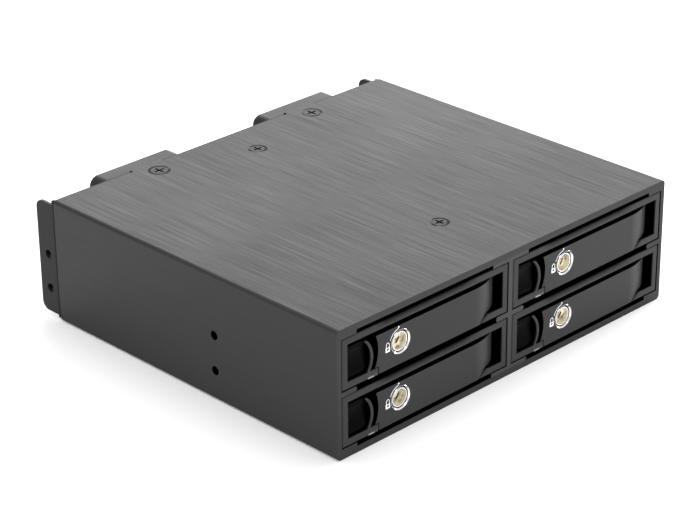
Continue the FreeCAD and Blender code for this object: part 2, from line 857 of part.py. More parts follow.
def pan_screw(label, thread, head, cap, length):
    """Round head screw along Y: the head stands behind the origin, the thread in front."""
    body = new_body(label)
    section = sketch_on(body, "section", "XY")
    outline(section, [
        ("0", f"-({length})"),
        (f"{thread}/2", f"-({length})"),
        (f"{thread}/2", "0"),
        (f"{head}/2", "0"),
        (f"{head}/2", f"{cap}*0.6"),
        (f"{head}/2 - {cap}*0.4", cap),
        ("0", cap),
    ])
    revolve(body, "turned", section, "V_Axis")
    arm = f"{head}*0.3"
    for name, width, height in (("along", arm, "recess_arm/2"), ("across", "recess_arm/2", arm)):
        slot = sketch_on(body, "slot_" + name, "XZ", f"-{cap}")
        rectangle(slot, f"-{width}", f"-{height}", width, height)
        pocket(body, "recess_" + name, slot, f"{cap}*0.6", back=True)
    return body


def scattered(label, master, spots):
    """One node of equal small pieces, each at its spot and turned about Z."""
    links = []
    for across, along, up, angle in spots:
        link = copy_of(f"{label}_{len(links)}", master)
        link.Placement.Rotation = FreeCAD.Rotation(FreeCAD.Vector(0, 0, 1), angle)
        place(link, across, along, up)
        links.append(link)
    group = doc.addObject("Part::Compound", label)
    group.Label = label
    group.Links = links
    return keep(group)


def standoff_spots():
    return [sign + across for sign in ("", "-") for across in ("standoff_inner_x", "standoff_outer_x")]


def backplane_board():
    """Circuit board across the cage, with a window for air behind each tray."""
    body = new_body("backplane_board")
    face = sketch_on(body, "face", "XZ", "-board_front")
    side = "half_width - side_wall - board_gap"
    rectangle(face, f"-({side})", "board_low", side, "housing_height - board_low")
    for across in standoff_spots():
        circle(face, across, "port_z", "fan_hole")
    pad(body, "board", face, "board_thick", back=True)
    windows = sketch_on(body, "windows", "XZ", "-board_front")
    for left in ("tray_left_x", "tray_right_x"):
        for low in ("tray_lower_z", "tray_upper_z"):
            middle = f"{left} + drive_middle"
            floor = f"{low} + pan_top + socket_above_pan + socket_height + board_window_offset"
            rectangle(
                windows,
                f"{middle} - board_window_width/2",
                floor,
                f"{middle} + board_window_width/2",
                f"{floor} + board_window_height",
            )
    pocket(body, "air_windows", windows)
    place(body)
    return keep(body)


def standoffs():
    """Hexagonal spacers between the rear plate and the board, and the screws that hold them."""
    body = new_body("standoff_one")
    face = sketch_on(body, "face", "XZ")
    corner = "standoff_size/2/cos(30)"
    points = []
    for step in range(6):
        points.append((f"{corner}*cos({60 * step})", f"{corner}*sin({60 * step})"))
    outline(face, points)
    circle(face, "0", "0", "fan_screw + 2*slide_play")
    pad(body, "hexagon", face, "standoff_length")
    spots = [(across, "plate_front", "port_z", 0) for across in standoff_spots()]
    scattered("board_standoffs", body, spots)
    screw = pan_screw("standoff_screw_one", "fan_screw", "fan_screw_head", "fan_screw_cap", "sheet + 4")
    rear = [(across, "plate_rear", "port_z", 0) for across in standoff_spots()]
    front = [(across, "board_front", "port_z", 180) for across in standoff_spots()]
    scattered("standoff_screws", screw, rear + front)


def drive_socket(label):
    """Socket that the drive plugs into, with a data slot and a power slot."""
    body = new_body(label)
    face = sketch_on(body, "face", "XZ")
    rectangle(face, "-socket_width/2", "0", "socket_width/2", "socket_height")
    pad(body, "block", face, "socket_depth")
    slots = sketch_on(body, "slots", "XZ", "socket_depth")
    whole = "socket_data_slot + socket_slot_rib + socket_power_slot"
    low = "(socket_height - socket_slot_height)/2"
    high = "(socket_height + socket_slot_height)/2"
    rectangle(slots, f"-({whole})/2", low, f"-({whole})/2 + socket_data_slot", high)
    rectangle(slots, f"({whole})/2 - socket_power_slot", low, f"({whole})/2", high)
    pocket(body, "contact_slots", slots, "socket_slot_depth")

    def front_edge(middle, run):
        return near(middle.y, "-socket_depth") and (near(middle.z, "0") or near(middle.z, "socket_height"))

    dress(body, "Chamfer", "lead_in", "bezel_chamfer*2", front_edge)
    return body


def data_port(label):
    """Two stacked data connectors: a shroud around a contact tongue each."""
    body = new_body(label)
    face = sketch_on(body, "face", "XZ")
    rectangle(face, "-data_port_width/2", "-data_port_height/2", "data_port_width/2", "data_port_height/2")
    pad(body, "block", face, "port_rear - port_front", back=True)
    cavities = sketch_on(body, "cavities", "XZ", "-(port_rear - port_front)")
    tongues = sketch_on(body, "tongues", "XZ", "-(port_rear - port_front - port_depth)")
    wide = "data_port_width/2 - port_wall"
    for sign in ("", "-"):
        near_end = f"{sign}data_port_bridge/2"
        far_end = f"{sign}(data_port_height/2 - port_wall)"
        rectangle(cavities, f"-({wide})", near_end, wide, far_end)
        middle = f"{sign}(data_port_height/2 - port_wall + data_port_bridge/2)/2"
        side = "data_port_width/2 - port_wall - data_tongue_thick"
        rectangle(
            tongues,
            f"{side} - data_tongue_thick/2",
            f"{middle} - data_tongue_width/2",
            f"{side} + data_tongue_thick/2",
            f"{middle} + data_tongue_width/2",
        )
    pocket(body, "shrouds", cavities, "port_depth", back=True)
    pad(body, "contact_tongues", tongues, "port_depth - 1.5", back=True)
    return body


def power_port(label):
    """Power connector: one shroud around a long contact tongue."""
    body = new_body(label)
    face = sketch_on(body, "face", "XZ")
    rectangle(
        face,
        "-power_port_width/2",
        "-power_port_height/2",
        "power_port_width/2",
        "power_port_height/2",
    )
    pad(body, "block", face, "port_rear - port_front", back=True)
    cavity = sketch_on(body, "cavity", "XZ", "-(port_rear - port_front)")
    wide = "power_port_width/2 - port_wall"
    tall = "power_port_height/2 - port_wall"
    rectangle(cavity, f"-({wide})", f"-({tall})", wide, tall)
    pocket(body, "shroud", cavity, "port_depth", back=True)
    tongue = sketch_on(body, "tongue", "XZ", "-(port_rear - port_front - port_depth)")
    level = f"{tall} - data_tongue_thick"
    rectangle(
        tongue,
        "-power_tongue_width/2",
        f"{level} - data_tongue_thick/2",
        "power_tongue_width/2",
        f"{level} + data_tongue_thick/2",
    )
    pad(body, "contact_tongue", tongue, "port_depth - 1.5", back=True)
    return body


def connectors():
    left_port = data_port("data_port_left")
    right_port = copy_of("data_port_right", left_port)
    for port, sign in ((left_port, "-"), (right_port, "")):
        place(port, f"{sign}data_port_x", "port_front", "port_z")
        keep(port)
    upper = power_port("power_port_upper")
    lower = copy_of("power_port_lower", upper)
    for port, sign in ((upper, "+"), (lower, "-")):
        place(port, "0", "port_front", f"port_z {sign} power_port_pitch/2")
        keep(port)
    first = None
    for bay, left, low in BAYS:
        label = "drive_socket_" + bay
        socket = copy_of(label, first) if first else drive_socket(label)
        first = first or socket
        place(
            socket,
            f"{left} + drive_middle + socket_centre_x",
            "board_front",
            f"{low} + pan_top + socket_above_pan",
        )
        keep(socket)


# Trays. Each piece is drawn from the tray's lower left front corner.

BAYS = [
    ("upper_left", "tray_left_x", "tray_upper_z"),
    ("lower_left", "tray_left_x", "tray_lower_z"),
    ("upper_right", "tray_right_x", "tray_upper_z"),
    ("lower_right", "tray_right_x", "tray_lower_z"),
]


def tray_pan(label):
    """Flat carrier plate with two upright ears, a field of slots and four drive holes."""
    body = new_body(label)
    plan = sketch_on(body, "plan", "XY", "-tray_play")
    left = "pan_side_inset"
    right = "tray_width - pan_side_inset"
    outline(plan, [
        (left, "bezel_depth"),
        (right, "bezel_depth"),
        (right, "pan_length - pan_corner"),
        (f"{right} - pan_corner", "pan_length"),
        (f"{left} + pan_corner", "pan_length"),
        (left, "pan_length - pan_corner"),
    ])
    pad(body, "plate", plan, "pan_thick")
    ear_top = "tray_height - bezel_top"
    for side, across in (("left", "post_left_x"), ("right", "post_right_x")):
        ear = sketch_on(body, "ear_" + side, "YZ", f"{across} - pan_ear/2")
        rectangle(ear, "bezel_depth", "-tray_play", "bezel_depth + pan_lip", ear_top)
        pad(body, "ear_plate_" + side, ear, "pan_ear")

    def bend(middle, run):
        inside = near(middle.y, "bezel_depth + pan_lip") and near(middle.z, "pan_top")
        return abs(run.x) > 0.9 and inside

    def ear_corner(middle, run):
        return abs(run.y) > 0.9 and near(middle.z, ear_top)

    dress(body, "Fillet", "ear_bends", "bend_inside", bend)
    dress(body, "Fillet", "ear_corners", "pan_ear_round", ear_corner)
    slot = sketch_on(body, "slot", "XY", "pan_top")
    middle = "drive_hole_y + drive_hole_span_y/2"
    start = "tray_width/2 - pan_slot_pitch*(pan_slot_count - 1)/2"
    long_half = "(pan_slot_length - pan_slot_width)/2"
    outline(slot, [
        (f"{start} - pan_slot_width/2", f"{middle} - {long_half}"),
        (start, f"{middle} - {long_half} - pan_slot_width/2"),
        (f"{start} + pan_slot_width/2", f"{middle} - {long_half}"),
        (f"{start} + pan_slot_width/2", f"{middle} + {long_half}"),
        (start, f"{middle} + {long_half} + pan_slot_width/2"),
        (f"{start} - pan_slot_width/2", f"{middle} + {long_half}"),
    ], {index: "pan_slot_width/2" for index in (0, 1, 3, 4)})
    one = pocket(body, "one_slot", slot)
    linear_pattern(body, "slots", one, "X", "pan_slot_pitch*(pan_slot_count - 1)", "pan_slot_count")

    posts = sketch_on(body, "posts", "XZ", "-bezel_depth")
    for across, up in post_spots():
        circle(posts, across, up, "bezel_post + 2*slide_play")
    pocket(body, "post_holes", posts, "pan_lip")

    holes = sketch_on(body, "drive_holes", "XY", "-tray_play")
    for sign in ("-", "+"):
        for along in ("drive_hole_y", "drive_hole_y + drive_hole_span_y"):
            circle(holes, f"tray_width/2 {sign} drive_hole_span_x/2", along, "drive_hole")
    doc.recompute()
    hole = feature(body, "Hole", "drive_countersinks", holes)
    hole.DepthType = "ThroughAll"
    bind(hole, "Diameter", "drive_hole")
    hole.HoleCutType = "Countersink"
    hole.HoleCutCustomValues = True
    bind(hole, "HoleCutDiameter", "drive_hole_head")
    hole.HoleCutCountersinkAngle = 90
    hole.Reversed = True
    body.Tip = hole
    return body


def vent_outline(sketch):
    """The first of the row of upright air slots behind the handle."""
    rectangle(
        sketch,
        "vent_start",
        "bezel_low + 2*front_play + pan_thick/2",
        "vent_start + vent_width",
        "tray_height - bezel_top - 2*front_play",
    )


def post_spots():
    """Places of the moulded posts that hold the pan's ears on the bezel."""
    spots = []
    for across in ("post_left_x", "post_right_x"):
        for up in ("post_low_z", "post_high_z"):
            spots.append((across, up))
    return spots


STEM_AT = ("bezel_border + front_play + button_stem", "(handle_foot + handle_high)/2")


def tray_bezel(label):
    """Moulded front frame with a recess for the button and the handle."""
    body = new_body(label + "_moulding")
    face = sketch_on(body, "face", "XZ")
    rectangle(face, "0", "0", "tray_width", "tray_height")
    pad(body, "block", face, "bezel_depth", back=True)

    def front_edge(middle, run):
        rim = near(middle.x, "0") or near(middle.x, "tray_width")
        rim = rim or near(middle.z, "0") or near(middle.z, "tray_height")
        return near(middle.y, "0") and rim

    dress(body, "Chamfer", "front_edges", "bezel_chamfer", front_edge)
    recess = sketch_on(body, "recess", "XZ")
    rectangle(recess, "bezel_border", "bezel_low", "tray_width - bezel_border", "tray_height - bezel_top")
    pocket(body, "recess_pocket", recess, "bezel_rear_wall")

    # curved finger ridge between the button and the handle
    ridge = sketch_on(body, "ridge", "XZ")
    sink = "bezel_low - front_play"
    outline(ridge, [
        ("ridge_foot_x", sink),
        ("ridge_top_x", "handle_high"),
        ("ridge_top_x - ridge_thick", "handle_high"),
        ("ridge_foot_x - ridge_thick", sink),
    ], {0: "ridge_radius", 2: "-ridge_radius"})
    pad(body, "finger_ridge", ridge, "bezel_rear_wall + bezel_back/2", back=True)

    air = sketch_on(body, "air", "XZ", "-bezel_rear_wall")
    vent_outline(air)
    one = pocket(body, "one_vent", air, "bezel_back")
    linear_pattern(body, "vents", one, "X", "vent_pitch*(vent_count - 1)", "vent_count")
    stem = sketch_on(body, "stem", "XZ", "-bezel_rear_wall")
    circle(stem, *STEM_AT, "button_stem + 2*slide_play")
    pocket(body, "stem_guide", stem, "bezel_back")
    pin = sketch_on(body, "pin", "XY")
    circle(pin, "hinge_x", "hinge_depth", "pin_diameter + 2*pin_play")
    pocket(body, "pin_bore", pin, "tray_height - pin_inset", back=True)

    # room below the lock for the cam to turn down into
    room = sketch_on(body, "cam_room", "YZ", "lock_x - cam_width/2 - cam_room")
    rectangle(
        room,
        "cam_front - cam_room",
        "lock_z - cam_reach - cam_room",
        "cam_front + cam_thick + cam_room",
        "bezel_low + 0.5",
    )
    pocket(body, "cam_slot", room, "cam_width + cam_reach/2 + 2*cam_room", back=True)

    # groove for the light guide
    groove = sketch_on(body, "groove", "XZ")
    rectangle(groove, "guide_x", "-1", "guide_x + guide_width", "guide_height")
    pocket(body, "guide_groove", groove)

    # posts with flattened heads behind the pan's ears
    posts = sketch_on(body, "posts", "XZ", "-(bezel_depth - bezel_back/2)")
    heads = sketch_on(body, "heads", "XZ", "-(bezel_depth + pan_lip)")
    for across, up in post_spots():
        circle(posts, across, up, "bezel_post")
        circle(heads, across, up, "bezel_post_head")
    pad(body, "post_stems", posts, "bezel_back/2 + pan_lip + 0.01", back=True)
    pad(body, "post_heads", heads, "bezel_post_cap", back=True)

    # the lower border stops where the handle hangs over it, along the handle's swing
    strip = doc.addObject("Part::Box", label + "_strip")
    bind(strip, "Length", "hinge_x - handle_notch_x")
    bind(strip, "Width", "handle_thick + handle_room + 1")
    bind(strip, "Height", "bezel_low + front_play + 1")
    bind(strip, "Placement.Base.x", "handle_notch_x")
    bind(strip, "Placement.Base.y", "-1")
    bind(strip, "Placement.Base.z", "-1")
    kept = swing_cone(label + "_kept", "-swing_play")
    cut = doc.addObject("Part::Cut", label + "_handle_room")
    cut.Base = strip
    cut.Tool = kept
    bezel = doc.addObject("Part::Cut", label)
    bezel.Label = label
    bezel.Base = body
    bezel.Tool = cut
    return bezel


def swing_cone(label, growth):
    """Cone about the hinge that the handle's lower corner turns outside."""
    cone = doc.addObject("Part::Cone", label)
    bind(cone, "Radius1", f"swing_low + {growth}")
    bind(cone, "Radius2", f"swing_high + {growth}")
    bind(cone, "Height", "handle_foot")
    bind(cone, "Placement.Base.x", "hinge_x")
    bind(cone, "Placement.Base.y", "hinge_depth")
    return cone


def handle(label):
    """Flush pull handle that bends inwards to its hinge barrel."""
    body = new_body(label + "_moulding")
    plan = sketch_on(body, "plan", "XY", "handle_lift")
    end_x = "handle_bend_x + bend_radius*bend_run/bend_reach"
    end_y = "bend_radius - bend_radius*(bend_radius - hinge_depth)/bend_reach"
    inner = "(bend_radius - handle_thick)"
    in_x = f"handle_bend_x + {inner}*bend_run/bend_reach"
    in_y = f"bend_radius - {inner}*(bend_radius - hinge_depth)/bend_reach"
    outline(plan, [
        ("handle_foot_x - 1", "0"),
        ("handle_bend_x", "0"),
        (end_x, end_y),
        (in_x, in_y),
        ("handle_bend_x", "handle_thick"),
        ("handle_foot_x - 1", "handle_thick"),
    ], {1: "bend_radius", 3: "-(bend_radius - handle_thick)"})
    pad(body, "shell", plan, "handle_high - handle_lift")
    barrel = sketch_on(body, "barrel", "XY", "handle_foot")
    circle(barrel, "hinge_x", "hinge_depth", "2*barrel_radius")
    pad(body, "hinge_barrel", barrel, "handle_high - handle_foot")

    # stiffening ribs along the back, above and below the lock
    rib_left = "handle_notch_x + front_play"
    ribs = sketch_on(body, "ribs", "XZ", "-handle_thick*0.9")
    rectangle(ribs, rib_left, "handle_foot", "handle_bend_x", "handle_foot + handle_rib")
    rectangle(ribs, rib_left, "handle_high - handle_rib", "handle_bend_x", "handle_high")
    pad(body, "back_ribs", ribs, "handle_rib_run + handle_thick*0.1", back=True)
    boss = sketch_on(body, "boss", "XZ", "-handle_thick*0.9")
    circle(boss, "lock_x", "lock_z", "lock_boss")
    pad(body, "lock_boss", boss, "lock_boss_run + handle_thick*0.1", back=True)

    # concave left edge, with a step where the bezel's lower border ends
    edge = sketch_on(body, "edge", "XZ", "2")
    outline(edge, [
        ("handle_foot_x - 3", "-1"),
        ("handle_notch_x + front_play", "-1"),
        ("handle_notch_x + front_play", "handle_foot"),
        ("handle_foot_x", "handle_foot"),
        ("handle_top_x", "handle_high"),
        ("handle_top_x", "tray_height"),
        ("handle_foot_x - 3", "tray_height"),
    ], {3: "handle_edge_radius"})
    pocket(body, "left_edge", edge)
    bore = sketch_on(body, "bore", "XZ", "2")
    circle(bore, "lock_x", "lock_z", "lock_body + 2*slide_play")
    pocket(body, "lock_bore", bore)
    seat = sketch_on(body, "seat", "XZ")
    circle(seat, "lock_x", "lock_z", "lock_rim + 2*slide_play")
    pocket(body, "lock_seat", seat, "lock_flange")
    pin = sketch_on(body, "pin", "XY")
    circle(pin, "hinge_x", "hinge_depth", "pin_diameter + 2*pin_play")
    pocket(body, "pin_bore", pin, back=True)
    piece = doc.addObject("Part::Cut", label)
    piece.Label = label
    piece.Base = body
    piece.Tool = swing_cone(label + "_swing", "0")
    return piece


def hinge_pin(label):
    body = new_body(label)
    section = sketch_on(body, "section", "XZ")
    radius = "pin_diameter/2"
    outline(section, [
        ("0", "pin_inset"),
        (f"{radius} - bezel_chamfer", "pin_inset"),
        (radius, "pin_inset + bezel_chamfer"),
        (radius, "tray_height - pin_inset - bezel_chamfer"),
        (f"{radius} - bezel_chamfer", "tray_height - pin_inset"),
        ("0", "tray_height - pin_inset"),
    ])
    revolve(body, "turned", section, "V_Axis")
    return body


def release_button(label):
    """Push button with a dished face, guided by a round stem."""
    body = new_body(label)
    face = sketch_on(body, "face", "XZ", "-button_sink")
    left = "bezel_border + front_play"
    foot = "ridge_foot_x - ridge_thick - front_play"
    top = "ridge_top_x - ridge_thick - front_play"
    outline(face, [
        (left, "handle_foot"),
        (foot, "handle_foot"),
        (top, "handle_high"),
        (left, "handle_high"),
    ], {1: "ridge_radius"})
    pad(body, "cap", face, "button_thick", back=True)
    stem = sketch_on(body, "stem", "XZ", "-(button_sink + button_thick - 0.5)")
    circle(stem, *STEM_AT, "button_stem")
    reach = "bezel_depth + button_stem_out - button_sink - button_thick + 0.5"
    pad(body, "guide_stem", stem, reach, back=True)
    dish = sketch_on(body, "dish", "YZ")
    bottom = "handle_foot + 1.2"
    top = "handle_high - 1.2"
    outline(dish, [
        ("button_sink", bottom),
        ("button_sink", top),
        ("button_sink - 1", top),
        ("button_sink - 1", bottom),
    ], {0: "((handle_high - handle_foot - 2.4)^2/4 + button_dish^2)/(2*button_dish)"})
    pocket(body, "finger_dish", dish, "tray_width", back=True)
    return body


def lock_sleeve(label):
    """Fixed outer part of the lock. Its bright rim stands proud and slopes in to the plug."""
    body = new_body(label)
    section = sketch_on(body, "section", "XY")
    bore = "plug_diameter/2 + slide_play"
    outline(section, [
        (bore, "plug_back"),
        ("lock_mouth/2", "plug_back"),
        ("lock_mouth/2", "lock_mouth_depth"),
        ("lock_rim/2 - lock_rim_edge", "-lock_rim_out"),
        ("lock_rim/2", "lock_rim_edge - lock_rim_out"),
        ("lock_rim/2", "lock_flange"),
        ("lock_body/2", "lock_flange"),
        ("lock_body/2", "lock_length"),
        (bore, "lock_length"),
    ])
    revolve(body, "turned", section, "V_Axis")
    return body


def lock_plug(label):
    """Turning core of the lock: a cup with the key slot, a square post and a riveted head."""
    body = new_body(label)
    section = sketch_on(body, "section", "XY")
    core = "plug_diameter/2"
    outline(section, [
        ("0", "plug_floor"),
        ("plug_cup_floor/2", "plug_floor"),
        ("plug_cup/2", "plug_sink"),
        ("plug_disc/2", "plug_sink"),
        ("plug_disc/2", "plug_back"),
        (core, "plug_back"),
        (core, "cam_front"),
        ("0", "cam_front"),
    ])
    revolve(body, "core", section, "V_Axis")
    post = sketch_on(body, "post", "XZ", "-cam_front")
    rectangle(post, "-post_size/2", "-post_size/2", "post_size/2", "post_size/2")
    pad(body, "square_post", post, "cam_thick", back=True)
    head = sketch_on(body, "head", "XZ", "-(cam_front + cam_thick)")
    circle(head, "0", "0", "post_head")
    pad(body, "rivet_head", head, "post_head_thick", back=True)
    slot = sketch_on(body, "key_slot", "XZ", "-plug_floor")
    corners = []
    for end, side in ((-1, -1), (1, -1), (1, 1), (-1, 1)):
        long_half = f"{end}*key_slot_length/2"
        wide_half = f"{side}*key_slot_width/2"
        corners.append((
            f"{long_half}*cos(key_slot_angle) - {wide_half}*sin(key_slot_angle)",
            f"{long_half}*sin(key_slot_angle) + {wide_half}*cos(key_slot_angle)",
        ))
    outline(slot, corners)
    pocket(body, "key_way", slot, "key_slot_depth")
    return body


def lock_cam(label):
    """Flat arm on the plug's post. It points to the right when the lock is open."""
    body = new_body(label)
    face = sketch_on(body, "face", "XZ", "-cam_front")
    half = "cam_width/2"
    outline(face, [
        ("0", f"-{half}"),
        ("cam_reach - cam_width/2", f"-{half}"),
        ("cam_reach", "0"),
        ("cam_reach - cam_width/2", half),
        ("0", half),
        (f"-{half}", "0"),
    ], {1: half, 2: half, 4: half, 5: half})
    pad(body, "arm", face, "cam_thick", back=True)
    hole = sketch_on(body, "hole", "XZ", "-cam_front")
    grip = "post_size/2 + slide_play"
    rectangle(hole, f"-({grip})", f"-({grip})", grip, grip)
    pocket(body, "square_hole", hole)
    return body


def light_guide(label):
    """Clear bar in the bezel's lower border that shows the drive light."""
    body = new_body(label)
    face = sketch_on(body, "face", "XZ")
    rectangle(
        face,
        "guide_x + slide_play",
        "slide_play",
        "guide_x + guide_width - slide_play",
        "guide_height",
    )
    pad(body, "bar", face, "bezel_depth", back=True)
    return body


TRAY_PIECES = [
    ("tray_pan", tray_pan, "0", "0"),
    ("tray_bezel", tray_bezel, "0", "0"),
    ("handle", handle, "0", "0"),
    ("hinge_pin", hinge_pin, "hinge_x", "hinge_depth"),
    ("release_button", release_button, "0", "0"),
    ("lock_sleeve", lock_sleeve, "lock_x", "0"),
    ("lock_plug", lock_plug, "lock_x", "0"),
    ("lock_cam", lock_cam, "lock_x", "0"),
    ("light_guide", light_guide, "0", "0"),
]


def trays():
    """Make the first tray's pieces and copy them for the other bays."""
    first = {}
    for bay, left, low in BAYS:
        for kind, make, across, along in TRAY_PIECES:
            label = f"{kind}_{bay}"
            item = copy_of(label, first[kind]) if kind in first else make(label)
            first.setdefault(kind, item)
            rise = " + lock_z" if kind.startswith("lock") else ""
            place(item, f"{left} + {across}", along, low + rise)
            keep(item)


# Build and check


def check_features():
    """Stop on a failed object and on a cut that removed nothing."""
    for item in doc.Objects:
        if "Invalid" in item.State or "Error" in item.State:
            raise RuntimeError(f"{item.Label} failed: {item.State}")
        if item.TypeId in ("PartDesign::Pocket", "PartDesign::Groove", "PartDesign::Hole"):
            if item.Shape.Volume > item.BaseFeature.Shape.Volume - 0.001:
                raise RuntimeError(f"{item.Label} cuts nothing")


def write_nodes():
    """Check each sub-part's shape and write it under its own name."""
    os.makedirs("parts", exist_ok=True)
    for item in NODES:
        shape = Part.getShape(item)
        if shape.isNull() or not shape.isValid() or not shape.Solids:
            raise RuntimeError(f"{item.Label} has no valid shape")
        shape.exportStep(f"parts/{item.Label}.step")


housing()
centre_divider()
screw_group("divider_screws", "divider")
screw_group("plate_screws", "plate")
rear_plate()
fans()
backplane_board()
standoffs()
connectors()
trays()
doc.recompute()
check_features()
write_nodes()
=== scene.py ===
import math

import bmesh
import bpy
from bpy.props import FloatProperty, FloatVectorProperty, IntProperty, PointerProperty
from mathutils import Matrix, Vector


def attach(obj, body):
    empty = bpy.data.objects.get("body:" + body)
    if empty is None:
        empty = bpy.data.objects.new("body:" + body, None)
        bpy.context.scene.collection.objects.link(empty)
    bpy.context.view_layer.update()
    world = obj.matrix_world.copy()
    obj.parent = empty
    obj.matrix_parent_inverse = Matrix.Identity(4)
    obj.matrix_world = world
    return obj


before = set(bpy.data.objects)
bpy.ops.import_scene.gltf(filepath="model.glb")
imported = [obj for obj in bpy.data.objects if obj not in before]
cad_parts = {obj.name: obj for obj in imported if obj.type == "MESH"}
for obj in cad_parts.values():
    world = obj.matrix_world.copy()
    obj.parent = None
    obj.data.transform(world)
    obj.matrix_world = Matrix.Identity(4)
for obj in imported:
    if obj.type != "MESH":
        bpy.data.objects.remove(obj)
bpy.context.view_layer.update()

bl_info = {
    "name": "Drive Cage Finishes",
    "version": (1, 0, 0),
    "blender": (4, 5, 0),
    "location": "3D View > Sidebar > Drive Cage",
    "description": "Finishes, printed marks and small parts for a four tray drive cage",
    "category": "Object",
}

MM = 0.001
SIDES = ("left", "right")

# the cage in millimetres: its front face, its height, and half its width outside and between the walls
FRONT = -63.2
HEIGHT = 42.0
HALF_WIDTH = 73.0
INNER_HALF_WIDTH = 71.5
# lower left front corner of each tray, in millimetres
BAYS = {
    "upper_left": (-71.0, 22.1),
    "lower_left": (-71.0, 3.6),
    "upper_right": (1.3, 22.1),
    "lower_right": (1.3, 3.6),
}
# countersunk screws in the top and the bottom: place and radius of the head
SCREWS = ((0, -33.8, 2.85), (0, 48.0, 2.85), (-34.0, 57.8, 3.3), (34.0, 57.8, 3.3))
# on each tray, in millimetres from its corner: the lock, where the shade above the handle fades in and
# out, and where the clear window of the light guide ends
LOCK_X = 23.5
LOCK_Z = 7.4
SHADE_RISE = (14.6, 16.2)
SHADE_BEGIN = (13.0, 18.0)
SHADE_END = (50.0, 58.0)
CLEAR_RIGHT = (12.4, 12.9)
CLEAR_TOP = (0.42, 0.52)
# the photograph's viewpoint: degrees round the cage, above it and of roll, and the camera's place in metres
VIEW_ANGLES = (-44.5573, 25.9144, -0.5249)
VIEW_PLACE = (-0.4845986, -0.4867664, 0.3496505)
PHOTO_WIDTH_PIXELS = 700
FOCAL_LENGTH_PIXELS = 2389.59
SENSOR_WIDTH = 36.0
# each lamp's name, place, aim, size and power, in metres and watts
LAMPS = (
    ("overhead", (0.2, 0.3, 1.6), (0, 0, 0), 1.8, 13.0),
    ("rear window", (0.58, 0.62, 0.23), (0.05, 0.05, 0.04), 0.6, 4.6),
    ("right strip", (1.0, 0.08, 0.22), (0, -0.06, 0.02), 0.6, 18.0),
    ("front softbox", (-0.28, -1.2, 0.98), (0, -0.06, 0.02), 0.45, 3.5),
)


def colour(name, description, default):
    """A colour as linear red, green and blue."""
    return FloatVectorProperty(
        name=name, description=description, default=default, subtype="COLOR", size=3, min=0.0, max=1.0
    )


def length(name, description, default):
    """A length in metres."""
    return FloatProperty(name=name, description=description, default=default, unit="LENGTH", precision=5)


def amount(name, description, default):
    """A share from 0 to 1."""
    return FloatProperty(
        name=name, description=description, default=default, subtype="FACTOR", min=0.0, max=1.0
    )


class CageColours(bpy.types.PropertyGroup):
    """Colours of the finishes"""
    housing: colour("Housing", "Brushed anodised housing and its screws", (0.050, 0.0505, 0.0512))
    sheet: colour("Rear sheet", "Satin coat of the rear plate and its flanges", (0.012, 0.012, 0.0123))
    divider: colour("Divider", "Anodised centre divider", (0.045, 0.045, 0.046))
    bezel: colour("Bezel", "Metallic coat of the tray bezels", (0.028, 0.028, 0.0285))
    handle: colour("Handle", "Metallic coat of the tray handles", (0.027, 0.027, 0.0275))
    # painted shade: the near black that recesses, gaps between parts and faces turned from the light are
    # painted with
    shade: colour("Shade", "Inner faces that the coat hardly reached", (0.0022, 0.0022, 0.0022))
    pan: colour("Pan", "Coat of the tray pans", (0.10, 0.10, 0.105))
    button: colour("Button", "Gloss black release buttons", (0.0012, 0.0012, 0.0014))
    fan: colour("Fan", "Moulded fans and connectors", (0.022, 0.022, 0.023))
    nickel: colour("Nickel", "Bright ring and rim of the locks", (0.90, 0.90, 0.89))
    cup: colour("Cup", "Pale brass cup of the locks", (0.82, 0.78, 0.66))
    steel: colour("Steel", "Zinc plated steel", (0.45, 0.45, 0.46))
    screw: colour("Screw", "Black screws of the fans and the board", (0.030, 0.030, 0.031))
    brass: colour("Brass", "Turned standoffs", (0.62, 0.46, 0.20))
    gold: colour("Gold", "Contacts of the ports and the sockets", (0.83, 0.61, 0.25))
    tin: colour("Tin", "Solder and plated ends", (0.62, 0.62, 0.60))
    can: colour("Can", "Aluminium cans of the capacitors", (0.70, 0.70, 0.71))
    chip: colour("Chip", "Moulded chips", (0.012, 0.012, 0.013))
    board: colour("Board", "Solder mask of the backplane", (0.012, 0.07, 0.03))
    guide: colour("Light guide", "Clear window of the frosted light guides", (0.30, 0.31, 0.32))
    ink: colour("Ink", "White printed marks", (0.93, 0.93, 0.93))
    floor: colour("Floor", "Pale floor", (0.92, 0.92, 0.92))


class CageSizes(bpy.types.PropertyGroup):
    """Rounding of the edges, and their wear with a painted highlight"""
    soft_edge: length("Soft edge", "Rounding of the metal edges", 0.00012)
    moulded_edge: length("Moulded edge", "Rounding of the edges of bezels, handles and buttons", 0.00018)
    # the lighter edges are partly wear and partly a painted highlight
    wear_and_highlight: amount("Edge wear", "How strongly the worn edges show", 0.25)
    segments: IntProperty(
        name="Edge segments", description="Steps across a rounded edge", default=2, min=1, max=4
    )


def colours():
    return bpy.context.scene.cage_colours


def sizes():
    return bpy.context.scene.cage_sizes


# Shader helpers

# sockets of a mix node that blends two colours
MIX_SHARE = 0
MIX_LOW = 6
MIX_HIGH = 7
MIX_OUT = 2


def new_material(name):
    """A material with its Principled BSDF already in place."""
    material = bpy.data.materials.new(name)
    material.use_nodes = True
    tree = material.node_tree
    return material, tree, tree.nodes["Principled BSDF"]


def add(tree, kind, **values):
    """Add a node and set its inputs or properties by name."""
    node = tree.nodes.new(kind)
    for key, value in values.items():
        socket = key.replace("_", " ")
        if socket in node.inputs:
            node.inputs[socket].default_value = value
        else:
            setattr(node, key, value)
    return node


